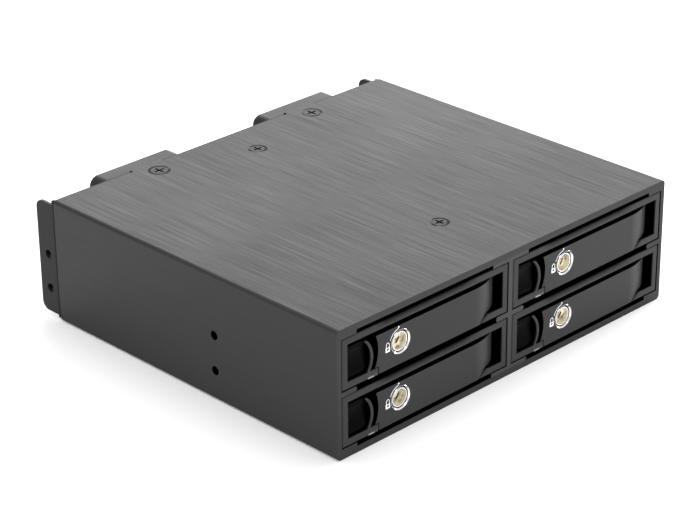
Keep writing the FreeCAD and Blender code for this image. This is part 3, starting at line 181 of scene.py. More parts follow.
def new_group(name, inputs, outputs):
    """An empty node group with named sockets: (name, kind, default)."""
    group = bpy.data.node_groups.new(name, "ShaderNodeTree")
    for label, kind, default in inputs:
        socket = group.interface.new_socket(label, in_out="INPUT", socket_type=kind)
        if default is not None:
            socket.default_value = default
    for label, kind in outputs:
        group.interface.new_socket(label, in_out="OUTPUT", socket_type=kind)
    start = group.nodes.new("NodeGroupInput")
    end = group.nodes.new("NodeGroupOutput")
    return group, start, end


def grouped(name, make):
    """The named node group, built on first use."""
    return bpy.data.node_groups.get(name) or make(name)


def set_inputs(node, **values):
    """Set a node's inputs by name, with an underscore for each space."""
    for key, value in values.items():
        node.inputs[key.replace("_", " ")].default_value = value


def use_group(tree, name, make, **values):
    """Add a named node group, and set its inputs by name."""
    node = tree.nodes.new("ShaderNodeGroup")
    node.node_tree = grouped(name, make)
    set_inputs(node, **values)
    return node


def own_axes(tree):
    """X, Y and Z of a point in the piece's own frame, as outputs."""
    place = add(tree, "ShaderNodeTexCoord")
    parts = add(tree, "ShaderNodeSeparateXYZ")
    tree.links.new(place.outputs["Object"], parts.inputs[0])
    return parts.outputs


def joined(tree, operation, *values):
    """Combine several outputs with one math operation."""
    result = values[0]
    for value in values[1:]:
        node = add(tree, "ShaderNodeMath", operation=operation)
        tree.links.new(result, node.inputs[0])
        tree.links.new(value, node.inputs[1])
        result = node.outputs[0]
    return result


def ranged(tree, source, low, high, start=0.3, end=0.7):
    """Go from low to high as source goes from start to end."""
    node = add(tree, "ShaderNodeMapRange", From_Min=start, From_Max=end, To_Min=low, To_Max=high)
    tree.links.new(source, node.inputs["Value"])
    return node.outputs["Result"]


def ramp(tree, axis, places, low=0.0, high=1.0, offset=0.0):
    """Go from low to high between two places on an axis, in millimetres from an offset."""
    start, end = places
    return ranged(tree, axis, low, high, (offset + start) * MM, (offset + end) * MM)


def edge_wear_and_highlight_group(name):
    """Mask that is 1 along edges, broken up by noise, for lighter edges that are partly wear and partly a
    painted highlight.
    """
    group, start, end = new_group(
        name,
        [("Width", "NodeSocketFloat", 0.0004), ("Patchiness", "NodeSocketFloat", 0.5)],
        [("Mask", "NodeSocketFloat")],
    )
    link = group.links.new
    bevel = add(group, "ShaderNodeBevel", samples=4)
    link(start.outputs["Width"], bevel.inputs["Radius"])
    geometry = add(group, "ShaderNodeNewGeometry")
    dot = add(group, "ShaderNodeVectorMath", operation="DOT_PRODUCT")
    link(bevel.outputs["Normal"], dot.inputs[0])
    link(geometry.outputs["Normal"], dot.inputs[1])
    spread = add(group, "ShaderNodeMapRange", From_Min=0.995, From_Max=0.90, To_Min=0.0, To_Max=1.0)
    link(dot.outputs["Value"], spread.inputs["Value"])
    place = add(group, "ShaderNodeTexCoord")
    noise = add(group, "ShaderNodeTexNoise", Scale=420.0, Detail=3.0)
    link(place.outputs["Object"], noise.inputs["Vector"])
    broken = add(group, "ShaderNodeMapRange", From_Min=0.35, From_Max=0.65, To_Max=1.0)
    link(noise.outputs["Fac"], broken.inputs["Value"])
    flip = add(group, "ShaderNodeMath", operation="SUBTRACT")
    flip.inputs[0].default_value = 1.0
    link(start.outputs["Patchiness"], flip.inputs[1])
    link(flip.outputs[0], broken.inputs["To Min"])
    mask = joined(group, "MULTIPLY", spread.outputs["Result"], broken.outputs["Result"])
    link(mask, end.inputs["Mask"])
    return group


def grain_group(name):
    """Fine even grain of a coat or a moulded face, with a slow drift over the surface."""
    group, start, end = new_group(
        name,
        [("Grain Scale", "NodeSocketFloat", 2600.0), ("Drift Scale", "NodeSocketFloat", 28.0)],
        [("Grain", "NodeSocketFloat"), ("Drift", "NodeSocketFloat")],
    )
    link = group.links.new
    place = add(group, "ShaderNodeTexCoord")
    fine = add(group, "ShaderNodeTexNoise", Detail=2.0, Roughness=0.6)
    link(place.outputs["Object"], fine.inputs["Vector"])
    link(start.outputs["Grain Scale"], fine.inputs["Scale"])
    slow = add(group, "ShaderNodeTexNoise", Detail=3.0, Roughness=0.5)
    link(place.outputs["Object"], slow.inputs["Vector"])
    link(start.outputs["Drift Scale"], slow.inputs["Scale"])
    link(fine.outputs["Fac"], end.inputs["Grain"])
    link(slow.outputs["Fac"], end.inputs["Drift"])
    return group


def brush_group(name):
    """Long scratches along Y, as a brushing belt leaves them: fine lines and a few deeper ones."""
    group, start, end = new_group(
        name,
        [("Fine Pitch", "NodeSocketFloat", 3400.0), ("Stretch", "NodeSocketFloat", 0.009)],
        [("Lines", "NodeSocketFloat"), ("Bands", "NodeSocketFloat"), ("Streaks", "NodeSocketFloat")],
    )
    link = group.links.new
    axes = own_axes(group)
    # the lines lie side by side across X on the top, and up Z on the side walls
    stretched = add(group, "ShaderNodeCombineXYZ")
    link(joined(group, "ADD", axes["X"], axes["Z"]), stretched.inputs["X"])
    link(joined(group, "MULTIPLY", axes["Y"], start.outputs["Stretch"]), stretched.inputs["Y"])
    fine = add(group, "ShaderNodeTexNoise", Detail=4.0, Roughness=0.7)
    link(stretched.outputs[0], fine.inputs["Vector"])
    link(start.outputs["Fine Pitch"], fine.inputs["Scale"])
    wide = add(group, "ShaderNodeTexNoise", Scale=320.0, Detail=5.0, Roughness=0.65)
    link(stretched.outputs[0], wide.inputs["Vector"])
    streak = add(group, "ShaderNodeTexNoise", Scale=1900.0, Detail=4.0, Roughness=0.7)
    link(stretched.outputs[0], streak.inputs["Vector"])
    link(fine.outputs["Fac"], end.inputs["Lines"])
    link(wide.outputs["Fac"], end.inputs["Bands"])
    link(streak.outputs["Fac"], end.inputs["Streaks"])
    return group


def window_mask_group(name):
    """Mask that is 1 inside a box that is centred on X and open to the rear."""
    group, start, end = new_group(
        name,
        [(label, "NodeSocketFloat", 0.0) for label in ("Half Width", "Low", "High", "Front")],
        [("Mask", "NodeSocketFloat")],
    )
    axes = own_axes(group)
    across = add(group, "ShaderNodeMath", operation="ABSOLUTE")
    group.links.new(axes["X"], across.inputs[0])
    mask = joined(
        group, "MULTIPLY",
        joined(group, "LESS_THAN", across.outputs[0], start.outputs["Half Width"]),
        joined(group, "GREATER_THAN", axes["Z"], start.outputs["Low"]),
        joined(group, "LESS_THAN", axes["Z"], start.outputs["High"]),
        joined(group, "GREATER_THAN", axes["Y"], start.outputs["Front"]),
    )
    group.links.new(mask, end.inputs["Mask"])
    return group


def depth_mask_group(name):
    """Mask that is 1 behind a depth along Y, with a narrow soft step."""
    group, start, end = new_group(
        name,
        [("Depth", "NodeSocketFloat", 0.0), ("Softness", "NodeSocketFloat", 0.00004)],
        [("Mask", "NodeSocketFloat")],
    )
    beyond = joined(group, "SUBTRACT", own_axes(group)["Y"], start.outputs["Depth"])
    share = add(group, "ShaderNodeMath", operation="DIVIDE", use_clamp=True)
    group.links.new(beyond, share.inputs[0])
    group.links.new(start.outputs["Softness"], share.inputs[1])
    group.links.new(share.outputs[0], end.inputs["Mask"])
    return group


def facing_group(name):
    """How far a face turns to a direction, from 0 to 1, in the piece's own axes."""
    group, start, end = new_group(
        name,
        [
            ("Direction", "NodeSocketVector", None),
            ("Low", "NodeSocketFloat", 0.0),
            ("High", "NodeSocketFloat", 1.0),
        ],
        [("Mask", "NodeSocketFloat")],
    )
    place = add(group, "ShaderNodeTexCoord")
    dot = add(group, "ShaderNodeVectorMath", operation="DOT_PRODUCT")
    group.links.new(place.outputs["Normal"], dot.inputs[0])
    group.links.new(start.outputs["Direction"], dot.inputs[1])
    spread = add(group, "ShaderNodeMapRange")
    group.links.new(dot.outputs["Value"], spread.inputs["Value"])
    group.links.new(start.outputs["Low"], spread.inputs["From Min"])
    group.links.new(start.outputs["High"], spread.inputs["From Max"])
    group.links.new(spread.outputs["Result"], end.inputs["Mask"])
    return group


def blended(tree, mask, low, high):
    """Colour or output low where the mask is 0, and high where it is 1."""
    mix = add(tree, "ShaderNodeMix", data_type="RGBA")
    tree.links.new(mask, mix.inputs[MIX_SHARE])
    for side, place in ((low, MIX_LOW), (high, MIX_HIGH)):
        if isinstance(side, bpy.types.NodeSocket):
            tree.links.new(side, mix.inputs[place])
        else:
            mix.inputs[place].default_value = (*side, 1)
    return mix.outputs[MIX_OUT]


def shaded(tree, shader, mask, base_output, metallic):
    """Paint the faces under the mask near black as painted shade: a black metal gives no gloss."""
    tree.links.new(blended(tree, mask, base_output, tuple(colours().shade)), shader.inputs["Base Color"])
    tree.links.new(ranged(tree, mask, metallic, 1.0, 0.0, 1.0), shader.inputs["Metallic"])


def ring_mask_group(name):
    """Mask that is 1 in a ring about an upright axis, broken up by noise."""
    group, start, end = new_group(
        name,
        [
            ("Centre", "NodeSocketVector", None),
            ("Inner", "NodeSocketFloat", 0.003),
            ("Outer", "NodeSocketFloat", 0.004),
        ],
        [("Mask", "NodeSocketFloat")],
    )
    place = add(group, "ShaderNodeTexCoord")
    flat = add(group, "ShaderNodeVectorMath", operation="MULTIPLY")
    flat.inputs[1].default_value = (1, 1, 0)
    group.links.new(place.outputs["Object"], flat.inputs[0])
    away = add(group, "ShaderNodeVectorMath", operation="DISTANCE")
    group.links.new(flat.outputs["Vector"], away.inputs[0])
    group.links.new(start.outputs["Centre"], away.inputs[1])
    noise = add(group, "ShaderNodeTexNoise", Scale=260.0, Detail=1.0)
    group.links.new(place.outputs["Object"], noise.inputs["Vector"])
    mask = joined(
        group, "MULTIPLY",
        joined(group, "GREATER_THAN", away.outputs["Value"], start.outputs["Inner"]),
        joined(group, "LESS_THAN", away.outputs["Value"], start.outputs["Outer"]),
        ranged(group, noise.outputs["Fac"], 0.1, 1.0, 0.40, 0.50),
    )
    group.links.new(mask, end.inputs["Mask"])
    return group


def screw_gap_shade(tree, margin_in, margin_out):
    """Painted shade in the gap round the heads of the countersunk screws, that far in and out from their
    rims.
    """
    rings = []
    for x, y, radius in SCREWS:
        ring = use_group(
            tree, "Ring Mask", ring_mask_group,
            Centre=(x * MM, y * MM, 0), Inner=(radius - margin_in) * MM, Outer=(radius + margin_out) * MM,
        )
        rings.append(ring.outputs["Mask"])
    return joined(tree, "MAXIMUM", *rings)


def depth_mask(tree, depth):
    """Mask of what lies more than depth millimetres behind the front face."""
    return use_group(tree, "Depth Mask", depth_mask_group, Depth=(FRONT + depth) * MM).outputs["Mask"]


def facing(tree, direction, low, high):
    """Mask that goes from 0 to 1 as a face turns to a direction from low to high."""
    node = use_group(tree, "Facing", facing_group, Direction=direction, Low=low, High=high)
    return node.outputs["Mask"]


def sideways(tree, low, high):
    """Mask of the faces that look to the left or to the right."""
    return joined(tree, "MAXIMUM", *[facing(tree, (side, 0, 0), low, high) for side in (1, -1)])


def grey(level):
    """An opaque grey."""
    return (level, level, level, 1)


def scaled(base, factor):
    """The base colour, darker or lighter by a factor."""
    return [channel * factor for channel in base]


def tinted(tree, base, source, spread):
    """The base colour, darker and lighter by spread as noise goes from its lows to its highs."""
    return blended(tree, ranged(tree, source, 0.0, 1.0), scaled(base, 1 - spread), scaled(base, 1 + spread))


def varied(tree, base_output, source, spread):
    """A colour output, darker and lighter by spread as noise goes from its lows to its highs."""
    mix = add(tree, "ShaderNodeMix", data_type="RGBA", blend_type="MULTIPLY")
    mix.inputs[MIX_SHARE].default_value = 1.0
    tree.links.new(base_output, mix.inputs[MIX_LOW])
    tree.links.new(ranged(tree, source, 1 - spread, 1 + spread), mix.inputs[MIX_HIGH])
    return mix.outputs[MIX_OUT]


def grained(tree, fine, drift):
    """Two noises: Grain, a fine one, and Drift, a slow one, each with its scale."""
    return use_group(tree, "Fine Grain", grain_group, Grain_Scale=fine, Drift_Scale=drift)


def roughened(tree, shader, source, low, high):
    """Roughness from low to high as noise goes from its lows to its highs."""
    tree.links.new(ranged(tree, source, low, high), shader.inputs["Roughness"])


def worn_and_highlit(tree, base_output, base, lighter, width):
    """Blend a lighter colour over the edges: partly wear, partly a painted highlight."""
    mask = use_group(tree, "Edge Wear And Highlight", edge_wear_and_highlight_group, Width=width, Patchiness=0.45)
    share = add(tree, "ShaderNodeMath", operation="MULTIPLY")
    share.inputs[1].default_value = sizes().wear_and_highlight
    tree.links.new(mask.outputs["Mask"], share.inputs[0])
    pale = [min(1.0, channel) for channel in scaled(base, lighter)]
    return blended(tree, share.outputs[0], base_output, pale)


def bumped(tree, shader, source, strength, distance):
    """Relief from a noise or pattern, at most distance high."""
    bump = add(tree, "ShaderNodeBump", Strength=strength, Distance=distance)
    tree.links.new(source, bump.inputs["Height"])
    tree.links.new(bump.outputs["Normal"], shader.inputs["Normal"])


def brushed_metal(name, base, rough):
    """Anodised aluminium, brushed along its length, plainer on its sides and front, with a faint painted
    shade on its rounded corners and painted shade that turns it black inside.
    """
    material, tree, shader = new_material(name)
    brush = use_group(tree, "Brushing", brush_group)
    grain = grained(tree, fine=3600.0, drift=14.0)
    lines = tinted(tree, base, brush.outputs["Lines"], spread=0.78)
    lines = varied(tree, lines, brush.outputs["Bands"], spread=0.04)
    lines = varied(tree, lines, brush.outputs["Streaks"], spread=0.30)
    shade = worn_and_highlit(tree, lines, base, lighter=1.6, width=0.3 * MM)
    # painted shade: the rounded corners a little darker, by the way they face
    shade = blended(tree, sideways(tree, 0.1, 0.6), shade, scaled(base, 0.97))
    wall = tinted(tree, base, brush.outputs["Lines"], spread=0.10)
    shade = blended(tree, sideways(tree, 0.9, 0.99), shade, wall)
    shade = blended(tree, facing(tree, (0, -1, 0), 0.4, 0.95), shade, tuple(base))
    # painted shade: the inside, the holes and the gaps round the screws turn near black
    mask = joined(tree, "MAXIMUM", *inner_shade_masks(tree), screw_gap_shade(tree, 0.2, 0.4))
    shaded(tree, shader, mask, shade, 0.9)
    set_inputs(shader, Specular_Tint=grey(0.65))
    roughened(tree, shader, grain.outputs["Drift"], rough - 0.03, rough + 0.04)
    bumped(tree, shader, brush.outputs["Lines"], 0.35, 0.00002)
    return material


def inner_shade_masks(tree):
    """Masks of the housing's inside between its walls, and of the holes in its walls, where painted shade
    goes.

    Each starts a skin's depth inside the outer faces, and the holes' mask stops short of the edges.
    """
    skin = 0.07
    front_skin = 0.1
    hole_margin = 3.0
    boxes = ((INNER_HALF_WIDTH, skin), (HALF_WIDTH - skin, hole_margin))
    return [
        use_group(
            tree, "Window Mask", window_mask_group,
            Half_Width=half * MM, Low=low * MM, High=(HEIGHT - low) * MM, Front=(FRONT + front_skin) * MM,
        ).outputs["Mask"]
        for half, low in boxes
    ]


def coated(name, base, rough, metallic, spread=0.04, bump=0.15, painted_shade_mask=None, light=None, glance=1.0):
    """Even sprayed coat with a fine grain and slightly lighter edges, partly wear and partly a painted
    highlight.

    painted_shade_mask makes the mask of its painted shade, and light the mask of its painted highlight.
    glance is how white it turns at a flat angle.
    """
    material, tree, shader = new_material(name)
    grain = grained(tree, fine=2600.0, drift=22.0)
    shade = worn_and_highlit(tree, tinted(tree, base, grain.outputs["Grain"], spread), base, lighter=1.8, width=0.25 * MM)
    # painted highlight: twice the base colour under the light mask
    if light:
        shade = blended(tree, light(tree), shade, scaled(base, 2.0))
    if painted_shade_mask:
        shaded(tree, shader, painted_shade_mask(tree), shade, metallic)
    else:
        tree.links.new(shade, shader.inputs["Base Color"])
        set_inputs(shader, Metallic=metallic)
    roughened(tree, shader, grain.outputs["Drift"], rough - 0.04, rough + 0.05)
    set_inputs(shader, Specular_IOR_Level=0.35, Specular_Tint=grey(glance))
    bumped(tree, shader, grain.outputs["Grain"], bump, 0.00003)
    return material


def handle_back_shade(tree):
    """Mask of the faces of a handle that don't look forward or to the right, which get painted shade."""
    # high before low, so it is 1 on the faces that turn away
    outward = facing(tree, (0.7071, -0.7071, 0), 0.45, 0.15)
    upward = facing(tree, (0, 0, 1), 0.55, 0.8)
    downward = facing(tree, (0, 0, -1), 0.55, 0.8)
    return joined(tree, "MAXIMUM", outward, upward, downward)


def handle_end_highlight(tree):
    """Mask of the curved end of a handle, where it turns to the right, which gets a painted highlight."""
    return facing(tree, (1, 0, 0), 0.03, 0.38)


def bezel_coat(bay, base):
    """Coat of one bezel, with painted shade that turns it black behind its front and darker towards the upper
    edge above the handle.
    """
    left, low = BAYS[bay]

    def painted_shade_mask(tree):
        axes = own_axes(tree)
        rise = ramp(tree, axes["Z"], SHADE_RISE, 0.0, 0.85, offset=low)
        begin = ramp(tree, axes["X"], SHADE_BEGIN, 0.0, 1.0, offset=left)
        finish = ramp(tree, axes["X"], SHADE_END, 1.0, 0.0, offset=left)
        # painted shade: the falloff above the handle, and the black behind the front
        falloff = joined(tree, "MULTIPLY", rise, begin, finish)
        return joined(tree, "MAXIMUM", falloff, depth_mask(tree, 0.4))

    return coated(f"bezel coat {bay.replace('_', ' ')}", base, 0.5, 0.35, spread=0.10, painted_shade_mask=painted_shade_mask)


def lock_ring(name, base, rough):
    """Bright cone ring, with painted shade that darkens it where it looks down and to the right and turns it
    black inside.
    """
    cone_depth = 0.17
    material, tree, shader = new_material(name)
    painted_lit_side = facing(tree, (-0.64, 0, 0.77), -0.15, 0.12)
    shade = blended(tree, painted_lit_side, scaled(base, 0.06), base)
    shaded(tree, shader, depth_mask(tree, cone_depth), shade, 1.0)
    grain = grained(tree, fine=1800.0, drift=150.0)
    roughened(tree, shader, grain.outputs["Grain"], rough, rough + 0.06)
    return material


def lock_cup(name, rim, brass, rough):
    """Pale brass cup with a bright rim, browner on its floor, and painted shade that turns the key slot near
    black.
    """
    rim_depth, floor_depth, slot_depth = 0.3, 1.2, 1.32
    floor_shares = (0.62, 0.57, 0.46)
    material, tree, shader = new_material(name)
    grain = grained(tree, fine=1400.0, drift=520.0)
    metal = tinted(tree, brass, grain.outputs["Drift"], 0.25)
    brown = [channel * share for channel, share in zip(brass, floor_shares)]
    floor = tinted(tree, brown, grain.outputs["Drift"], 0.9)
    metal = blended(tree, depth_mask(tree, floor_depth), metal, floor)
    shade = blended(tree, depth_mask(tree, rim_depth), rim, metal)
    # painted shade: the key slot near black
    shade = blended(tree, depth_mask(tree, slot_depth), shade, scaled(brass, 0.10))
    tree.links.new(shade, shader.inputs["Base Color"])
    set_inputs(shader, Metallic=0.7)
    roughened(tree, shader, grain.outputs["Grain"], rough - 0.03, rough + 0.05)
    return material


def bright_metal(name, base, rough, painted_shade_mask=None, glance=1.0):
    """Plated or bare turned metal with faint marks.

    painted_shade_mask makes the mask of its painted shade, and glance is how white it turns at a flat angle.
    """
    material, tree, shader = new_material(name)
    grain = grained(tree, fine=1800.0, drift=150.0)
    shade = tinted(tree, base, grain.outputs["Drift"], 0.06)
    if painted_shade_mask:
        shade = blended(tree, painted_shade_mask(tree), shade, tuple(colours().shade))
    tree.links.new(shade, shader.inputs["Base Color"])
    set_inputs(shader, Metallic=1.0, Specular_Tint=grey(glance))
    roughened(tree, shader, grain.outputs["Grain"], rough - 0.03, rough + 0.05)
    return material


def gloss_plastic(name, base, rough):
    """Smooth moulded plastic."""
    material, tree, shader = new_material(name)
    grain = grained(tree, fine=900.0, drift=60.0)
    tree.links.new(tinted(tree, base, grain.outputs["Drift"], 0.08), shader.inputs["Base Color"])
    roughened(tree, shader, grain.outputs["Drift"], rough, rough + 0.05)
    set_inputs(shader, Specular_IOR_Level=0.02)
    return material


def printed_ink(name, base):
    """Matt opaque ink, with a faint painted glow from its emission."""
    material, tree, shader = new_material(name)
    grain = grained(tree, fine=3000.0, drift=80.0)
    tree.links.new(tinted(tree, base, grain.outputs["Drift"], 0.015), shader.inputs["Base Color"])
    roughened(tree, shader, grain.outputs["Grain"], 0.42, 0.55)
    # painted glow: the ink gives off a little light of its own
    set_inputs(shader, Emission_Color=(*base, 1), Emission_Strength=0.25)
    return material


def frosted_guide(bay, coat):
    """Milky light bar with a narrow clear window at its lower left, the rest under the bezel's coat."""
    left, low = BAYS[bay]
    material, tree, shader = new_material(f"frosted light guide {bay.replace('_', ' ')}")
    axes = own_axes(tree)
    beside = ramp(tree, axes["X"], CLEAR_RIGHT, 1.0, 0.0, offset=left)
    under = ramp(tree, axes["Z"], CLEAR_TOP, 1.0, 0.0, offset=low)
    window = joined(tree, "MULTIPLY", beside, under)
    grain = grained(tree, fine=1500.0, drift=90.0)
    milky = tinted(tree, colours().guide, grain.outputs["Drift"], 0.03)
    cover = tinted(tree, coat, grain.outputs["Grain"], 0.10)
    tree.links.new(blended(tree, window, cover, milky), shader.inputs["Base Color"])
    roughened(tree, shader, grain.outputs["Grain"], 0.22, 0.32)
    set_inputs(shader, Subsurface_Weight=0.4, Subsurface_Radius=(0.002, 0.002, 0.002))
    return material


def board_mask(name, base):
    """Solder mask with tracks that show faintly through it."""
    material, tree, shader = new_material(name)
    place = add(tree, "ShaderNodeTexCoord")
    tracks = add(tree, "ShaderNodeTexBrick", Scale=90.0, Mortar_Size=0.012, Brick_Width=1.6, Row_Height=0.12)
    set_inputs(
        tracks, Color1=(*base, 1), Color2=(*scaled(base, 0.85), 1), Mortar=(*scaled(base, 1.9), 1)
    )
    turn = add(tree, "ShaderNodeMapping", Rotation=(math.radians(90), 0, 0))
    tree.links.new(place.outputs["Object"], turn.inputs["Vector"])
    tree.links.new(turn.outputs["Vector"], tracks.inputs["Vector"])
    tree.links.new(tracks.outputs["Color"], shader.inputs["Base Color"])
    grain = grained(tree, fine=2600.0, drift=28.0)
    roughened(tree, shader, grain.outputs["Grain"], 0.28, 0.36)
    bumped(tree, shader, tracks.outputs["Fac"], 0.3, 0.00003)
    return material


# Working on the cage's own nodes


def dress(names, material):
    """Give CAD nodes a material in their own slots."""
    for name in names:
        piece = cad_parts[name]
        if not piece.data.materials:
            piece.data.materials.append(material)
        for slot in piece.material_slots:
            slot.material = material


def soften(names, width, segments):
    """Round the sharp edges of CAD nodes with live modifiers, and keep their flat faces flat."""
    for name in names:
        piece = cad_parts[name]
        weld = piece.modifiers.new("Join faces", "WELD")
        weld.merge_threshold = 0.002 * MM
        bevel = piece.modifiers.new("Soft edges", "BEVEL")
        bevel.width = width
        bevel.segments = segments
        bevel.limit_method = "ANGLE"
        bevel.angle_limit = math.radians(35)
        bevel.use_clamp_overlap = True
        bevel.miter_outer = "MITER_ARC"
        bevel.harden_normals = False
        level = piece.modifiers.new("Flat faces", "WEIGHTED_NORMAL")
        level.mode = "FACE_AREA"
        level.weight = 50
        level.keep_sharp = True
        for face in piece.data.polygons:
            face.use_smooth = True


def per_bay(*kinds):
    """Names of the nodes that each tray has one of."""
    return [f"{kind}_{bay}" for kind in kinds for bay in BAYS]


def per_side(*kinds):
    """Names of the nodes that each side has one of."""
    return [f"{kind}_{side}" for kind in kinds for side in SIDES]


def finished_piece(name, mesh, body, material):
    """Put a finished bmesh in the scene as a piece that rides on a body."""
    data = bpy.data.meshes.new(name)
    bmesh.ops.recalc_face_normals(mesh, faces=mesh.faces)
    mesh.to_mesh(data)
    mesh.free()
    data.materials.append(material)
    piece = bpy.data.objects.new(name, data)
    bpy.context.scene.collection.objects.link(piece)
    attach(piece, body)


# Printed marks

# thickness of the ink in millimetres, half of it in front of the handle's face
INK_THICK = 0.03


def in_tray(bay, x, y, z):
    """A point of a tray, given in millimetres from its lower left front corner."""
    left, low = BAYS[bay]
    return Vector((left + x, FRONT + y, low + z)) * MM


def square_ring(mesh, wide, deep):
    """A rectangle of four edges in the XY plane, centred on the origin."""
    corners = bmesh.ops.create_circle(mesh, cap_ends=False, segments=4, radius=math.sqrt(0.5))["verts"]
    bmesh.ops.rotate(mesh, verts=corners, cent=(0, 0, 0), matrix=Matrix.Rotation(math.radians(45), 3, "Z"))
    bmesh.ops.scale(mesh, verts=corners, vec=(wide, deep, 1))
    return corners


def stood_up(mesh, outline, place):
    """Turn an outline from the XY plane to the XZ plane, and move it to its place."""
    upright = Matrix.Rotation(math.radians(90), 3, "X")
    bmesh.ops.rotate(mesh, verts=outline, cent=(0, 0, 0), matrix=upright)
    bmesh.ops.translate(mesh, verts=outline, vec=place)


def edges_of(corners):
    """Edges with both ends among some vertices."""
    edges = {
        edge for vert in corners for edge in vert.link_edges
        if all(end in corners for end in edge.verts)
    }
    return list(edges)


def arc_stroke(mesh, middle, radius, width, start, end, steps):
    """A curved stroke of ink about a point of the XZ plane, from one angle to another in degrees.

    Returns the vertices of its two open ends.
    """
    corners = square_ring(mesh, width, INK_THICK * MM)
    bmesh.ops.translate(mesh, verts=corners, vec=middle + Vector((radius, 0, 0)))
    begin = Matrix.Rotation(-math.radians(start), 3, "Y")
    bmesh.ops.rotate(mesh, verts=corners, cent=middle, matrix=begin)
    sweep = math.radians(end - start)
    swept = bmesh.ops.spin(
        mesh, geom=edges_of(corners), cent=middle, axis=(0, -1, 0), angle=sweep, steps=steps
    )
    last = [item for item in swept["geom_last"] if isinstance(item, bmesh.types.BMVert)]
    return corners, last


def capped(mesh, *rings):
    """Close open ends with a face each."""
    for ring in rings:
        bmesh.ops.contextual_create(mesh, geom=edges_of(ring))


def lock_marks(bay):
    """Turning arc with its dot, and a small closed padlock, printed beside the lock."""
    arc_radius = 4.45 * MM
    arc_line = 0.21 * MM
    arc_begin, arc_end = 99, 158
    dot_radius = 0.27 * MM
    dot_x, dot_z = 22.86, 12.25
    mesh = bmesh.new()
    middle = in_tray(bay, LOCK_X, 0, LOCK_Z)
    ends = arc_stroke(mesh, middle, arc_radius, arc_line, arc_begin, arc_end, steps=20)
    capped(mesh, *ends)
    dot = bmesh.ops.create_circle(mesh, cap_ends=True, segments=20, radius=dot_radius)["verts"]
    stood_up(mesh, dot, in_tray(bay, dot_x, -INK_THICK / 2, dot_z))
    padlock(mesh, bay)
    return mesh


def padlock(mesh, bay):
    """Body with a keyhole, and a shackle whose legs stand on it."""
    across = 18.35
    body_wide, body_tall, body_z = 1.8 * MM, 1.45 * MM, 6.47
    keyhole_radius, keyhole_stretch, keyhole_z = 0.34 * MM, 1.6, 6.6
    shackle_radius, shackle_line, shackle_z = 0.6 * MM, 0.2 * MM, 8.1
    leg_length = 0.95 * MM
    body = square_ring(mesh, body_wide, body_tall)
    stood_up(mesh, body, in_tray(bay, across, -INK_THICK / 2, body_z))
    hole = bmesh.ops.create_circle(mesh, cap_ends=False, segments=16, radius=keyhole_radius)["verts"]
    bmesh.ops.scale(mesh, verts=hole, vec=(keyhole_stretch, 1, 1))
    stood_up(mesh, hole, in_tray(bay, across, -INK_THICK / 2, keyhole_z))
    bmesh.ops.triangle_fill(mesh, use_beauty=True, edges=edges_of(body) + edges_of(hole))
    arch = in_tray(bay, across, 0, shackle_z)
    for ring in arc_stroke(mesh, arch, shackle_radius, shackle_line, 0, 180, steps=14):
        leg = bmesh.ops.extrude_edge_only(mesh, edges=edges_of(ring))
        foot = [item for item in leg["geom"] if isinstance(item, bmesh.types.BMVert)]
        bmesh.ops.translate(mesh, verts=foot, vec=(0, 0, -leg_length))
        capped(mesh, foot)


# Contacts and board parts

# all in millimetres: pins, and the gold pads of the ports with their width, length and thickness
PIN_PITCH = 1.27
DATA_PINS = 7
POWER_PINS = 15
PAD_SIZE = (0.7, 4.6, 0.08)
PAD_Y = 60.8
# middles of the data ports and of the tongues, and how far a pad's middle is from its tongue's
DATA_PORTS_X = (-62.7, 62.7)
DATA_TONGUES_Z = (12.65, 29.35)
DATA_PAD_X = 1.22
POWER_TONGUES_Z = (11.5, 30.5)
POWER_PAD_Z = 0.72
# drive sockets: middle and base from the tray's corner, and the middles of their two rows of pins
SOCKET_X = 39.65
SOCKET_Z = 1.9
DATA_ROW_X = -11.5
POWER_ROW_X = 6.4
# the board's rear face, and its small parts, in a row on each side
BOARD_REAR = 52.7
PARTS_Z = 21.2
CANS_X = (23.2, 48.2)
CAN_FOOT = (4.2, 0.6, 4.2)
CHIPS_X = (28.5, 42.5)
CHIP_LEGS = 4
RESISTORS_X = (33.2, 35.5, 37.8)


def bar(mesh, place, size, edge=0.0):
    """A small bar at a place in millimetres, with its edges rounded where edge is given."""
    corners = bmesh.ops.create_cube(mesh, size=1.0)["verts"]
    bmesh.ops.scale(mesh, verts=corners, vec=Vector(size) * MM)
    bmesh.ops.translate(mesh, verts=corners, vec=Vector(place) * MM)
    if edge:
        rounded(mesh, edges_of(corners), edge, steps=2)


def rounded(mesh, edges, width, steps):
    """Round some edges, by a width in millimetres."""
    bmesh.ops.bevel(
        mesh, geom=edges, offset=width * MM, offset_type="OFFSET", segments=steps, profile=0.5,
        affect="EDGES", material=-1,
    )


def post(mesh, place, low, high, tall, sides, edge=0.0):
    """A round post along Y from a place in millimetres, from radius low to radius high.

    Its far rim is rounded where edge is given.
    """
    made = bmesh.ops.create_cone(
        mesh, cap_ends=True, segments=sides, radius1=low * MM, radius2=high * MM, depth=tall * MM
    )["verts"]
    bmesh.ops.rotate(mesh, verts=made, cent=(0, 0, 0), matrix=Matrix.Rotation(math.radians(-90), 3, "X"))
    bmesh.ops.translate(mesh, verts=made, vec=(Vector(place) + Vector((0, tall / 2, 0))) * MM)
    if edge:
        far = (place[1] + tall - 0.01) * MM
        rim = [item for item in edges_of(made) if all(end.co.y > far for end in item.verts)]
        rounded(mesh, rim, edge, steps=3)


def on_board(mesh, x, z, size, edge=0.0, gap=0.0):
    """A small bar on the board's rear face or a gap behind it, z up from the row's middle."""
    bar(mesh, (x, BOARD_REAR + gap + size[1] / 2, PARTS_Z + z), size, edge)


def row(middle, count):
    """Places of some pins about a middle."""
    return [middle + (index - (count - 1) / 2) * PIN_PITCH for index in range(count)]


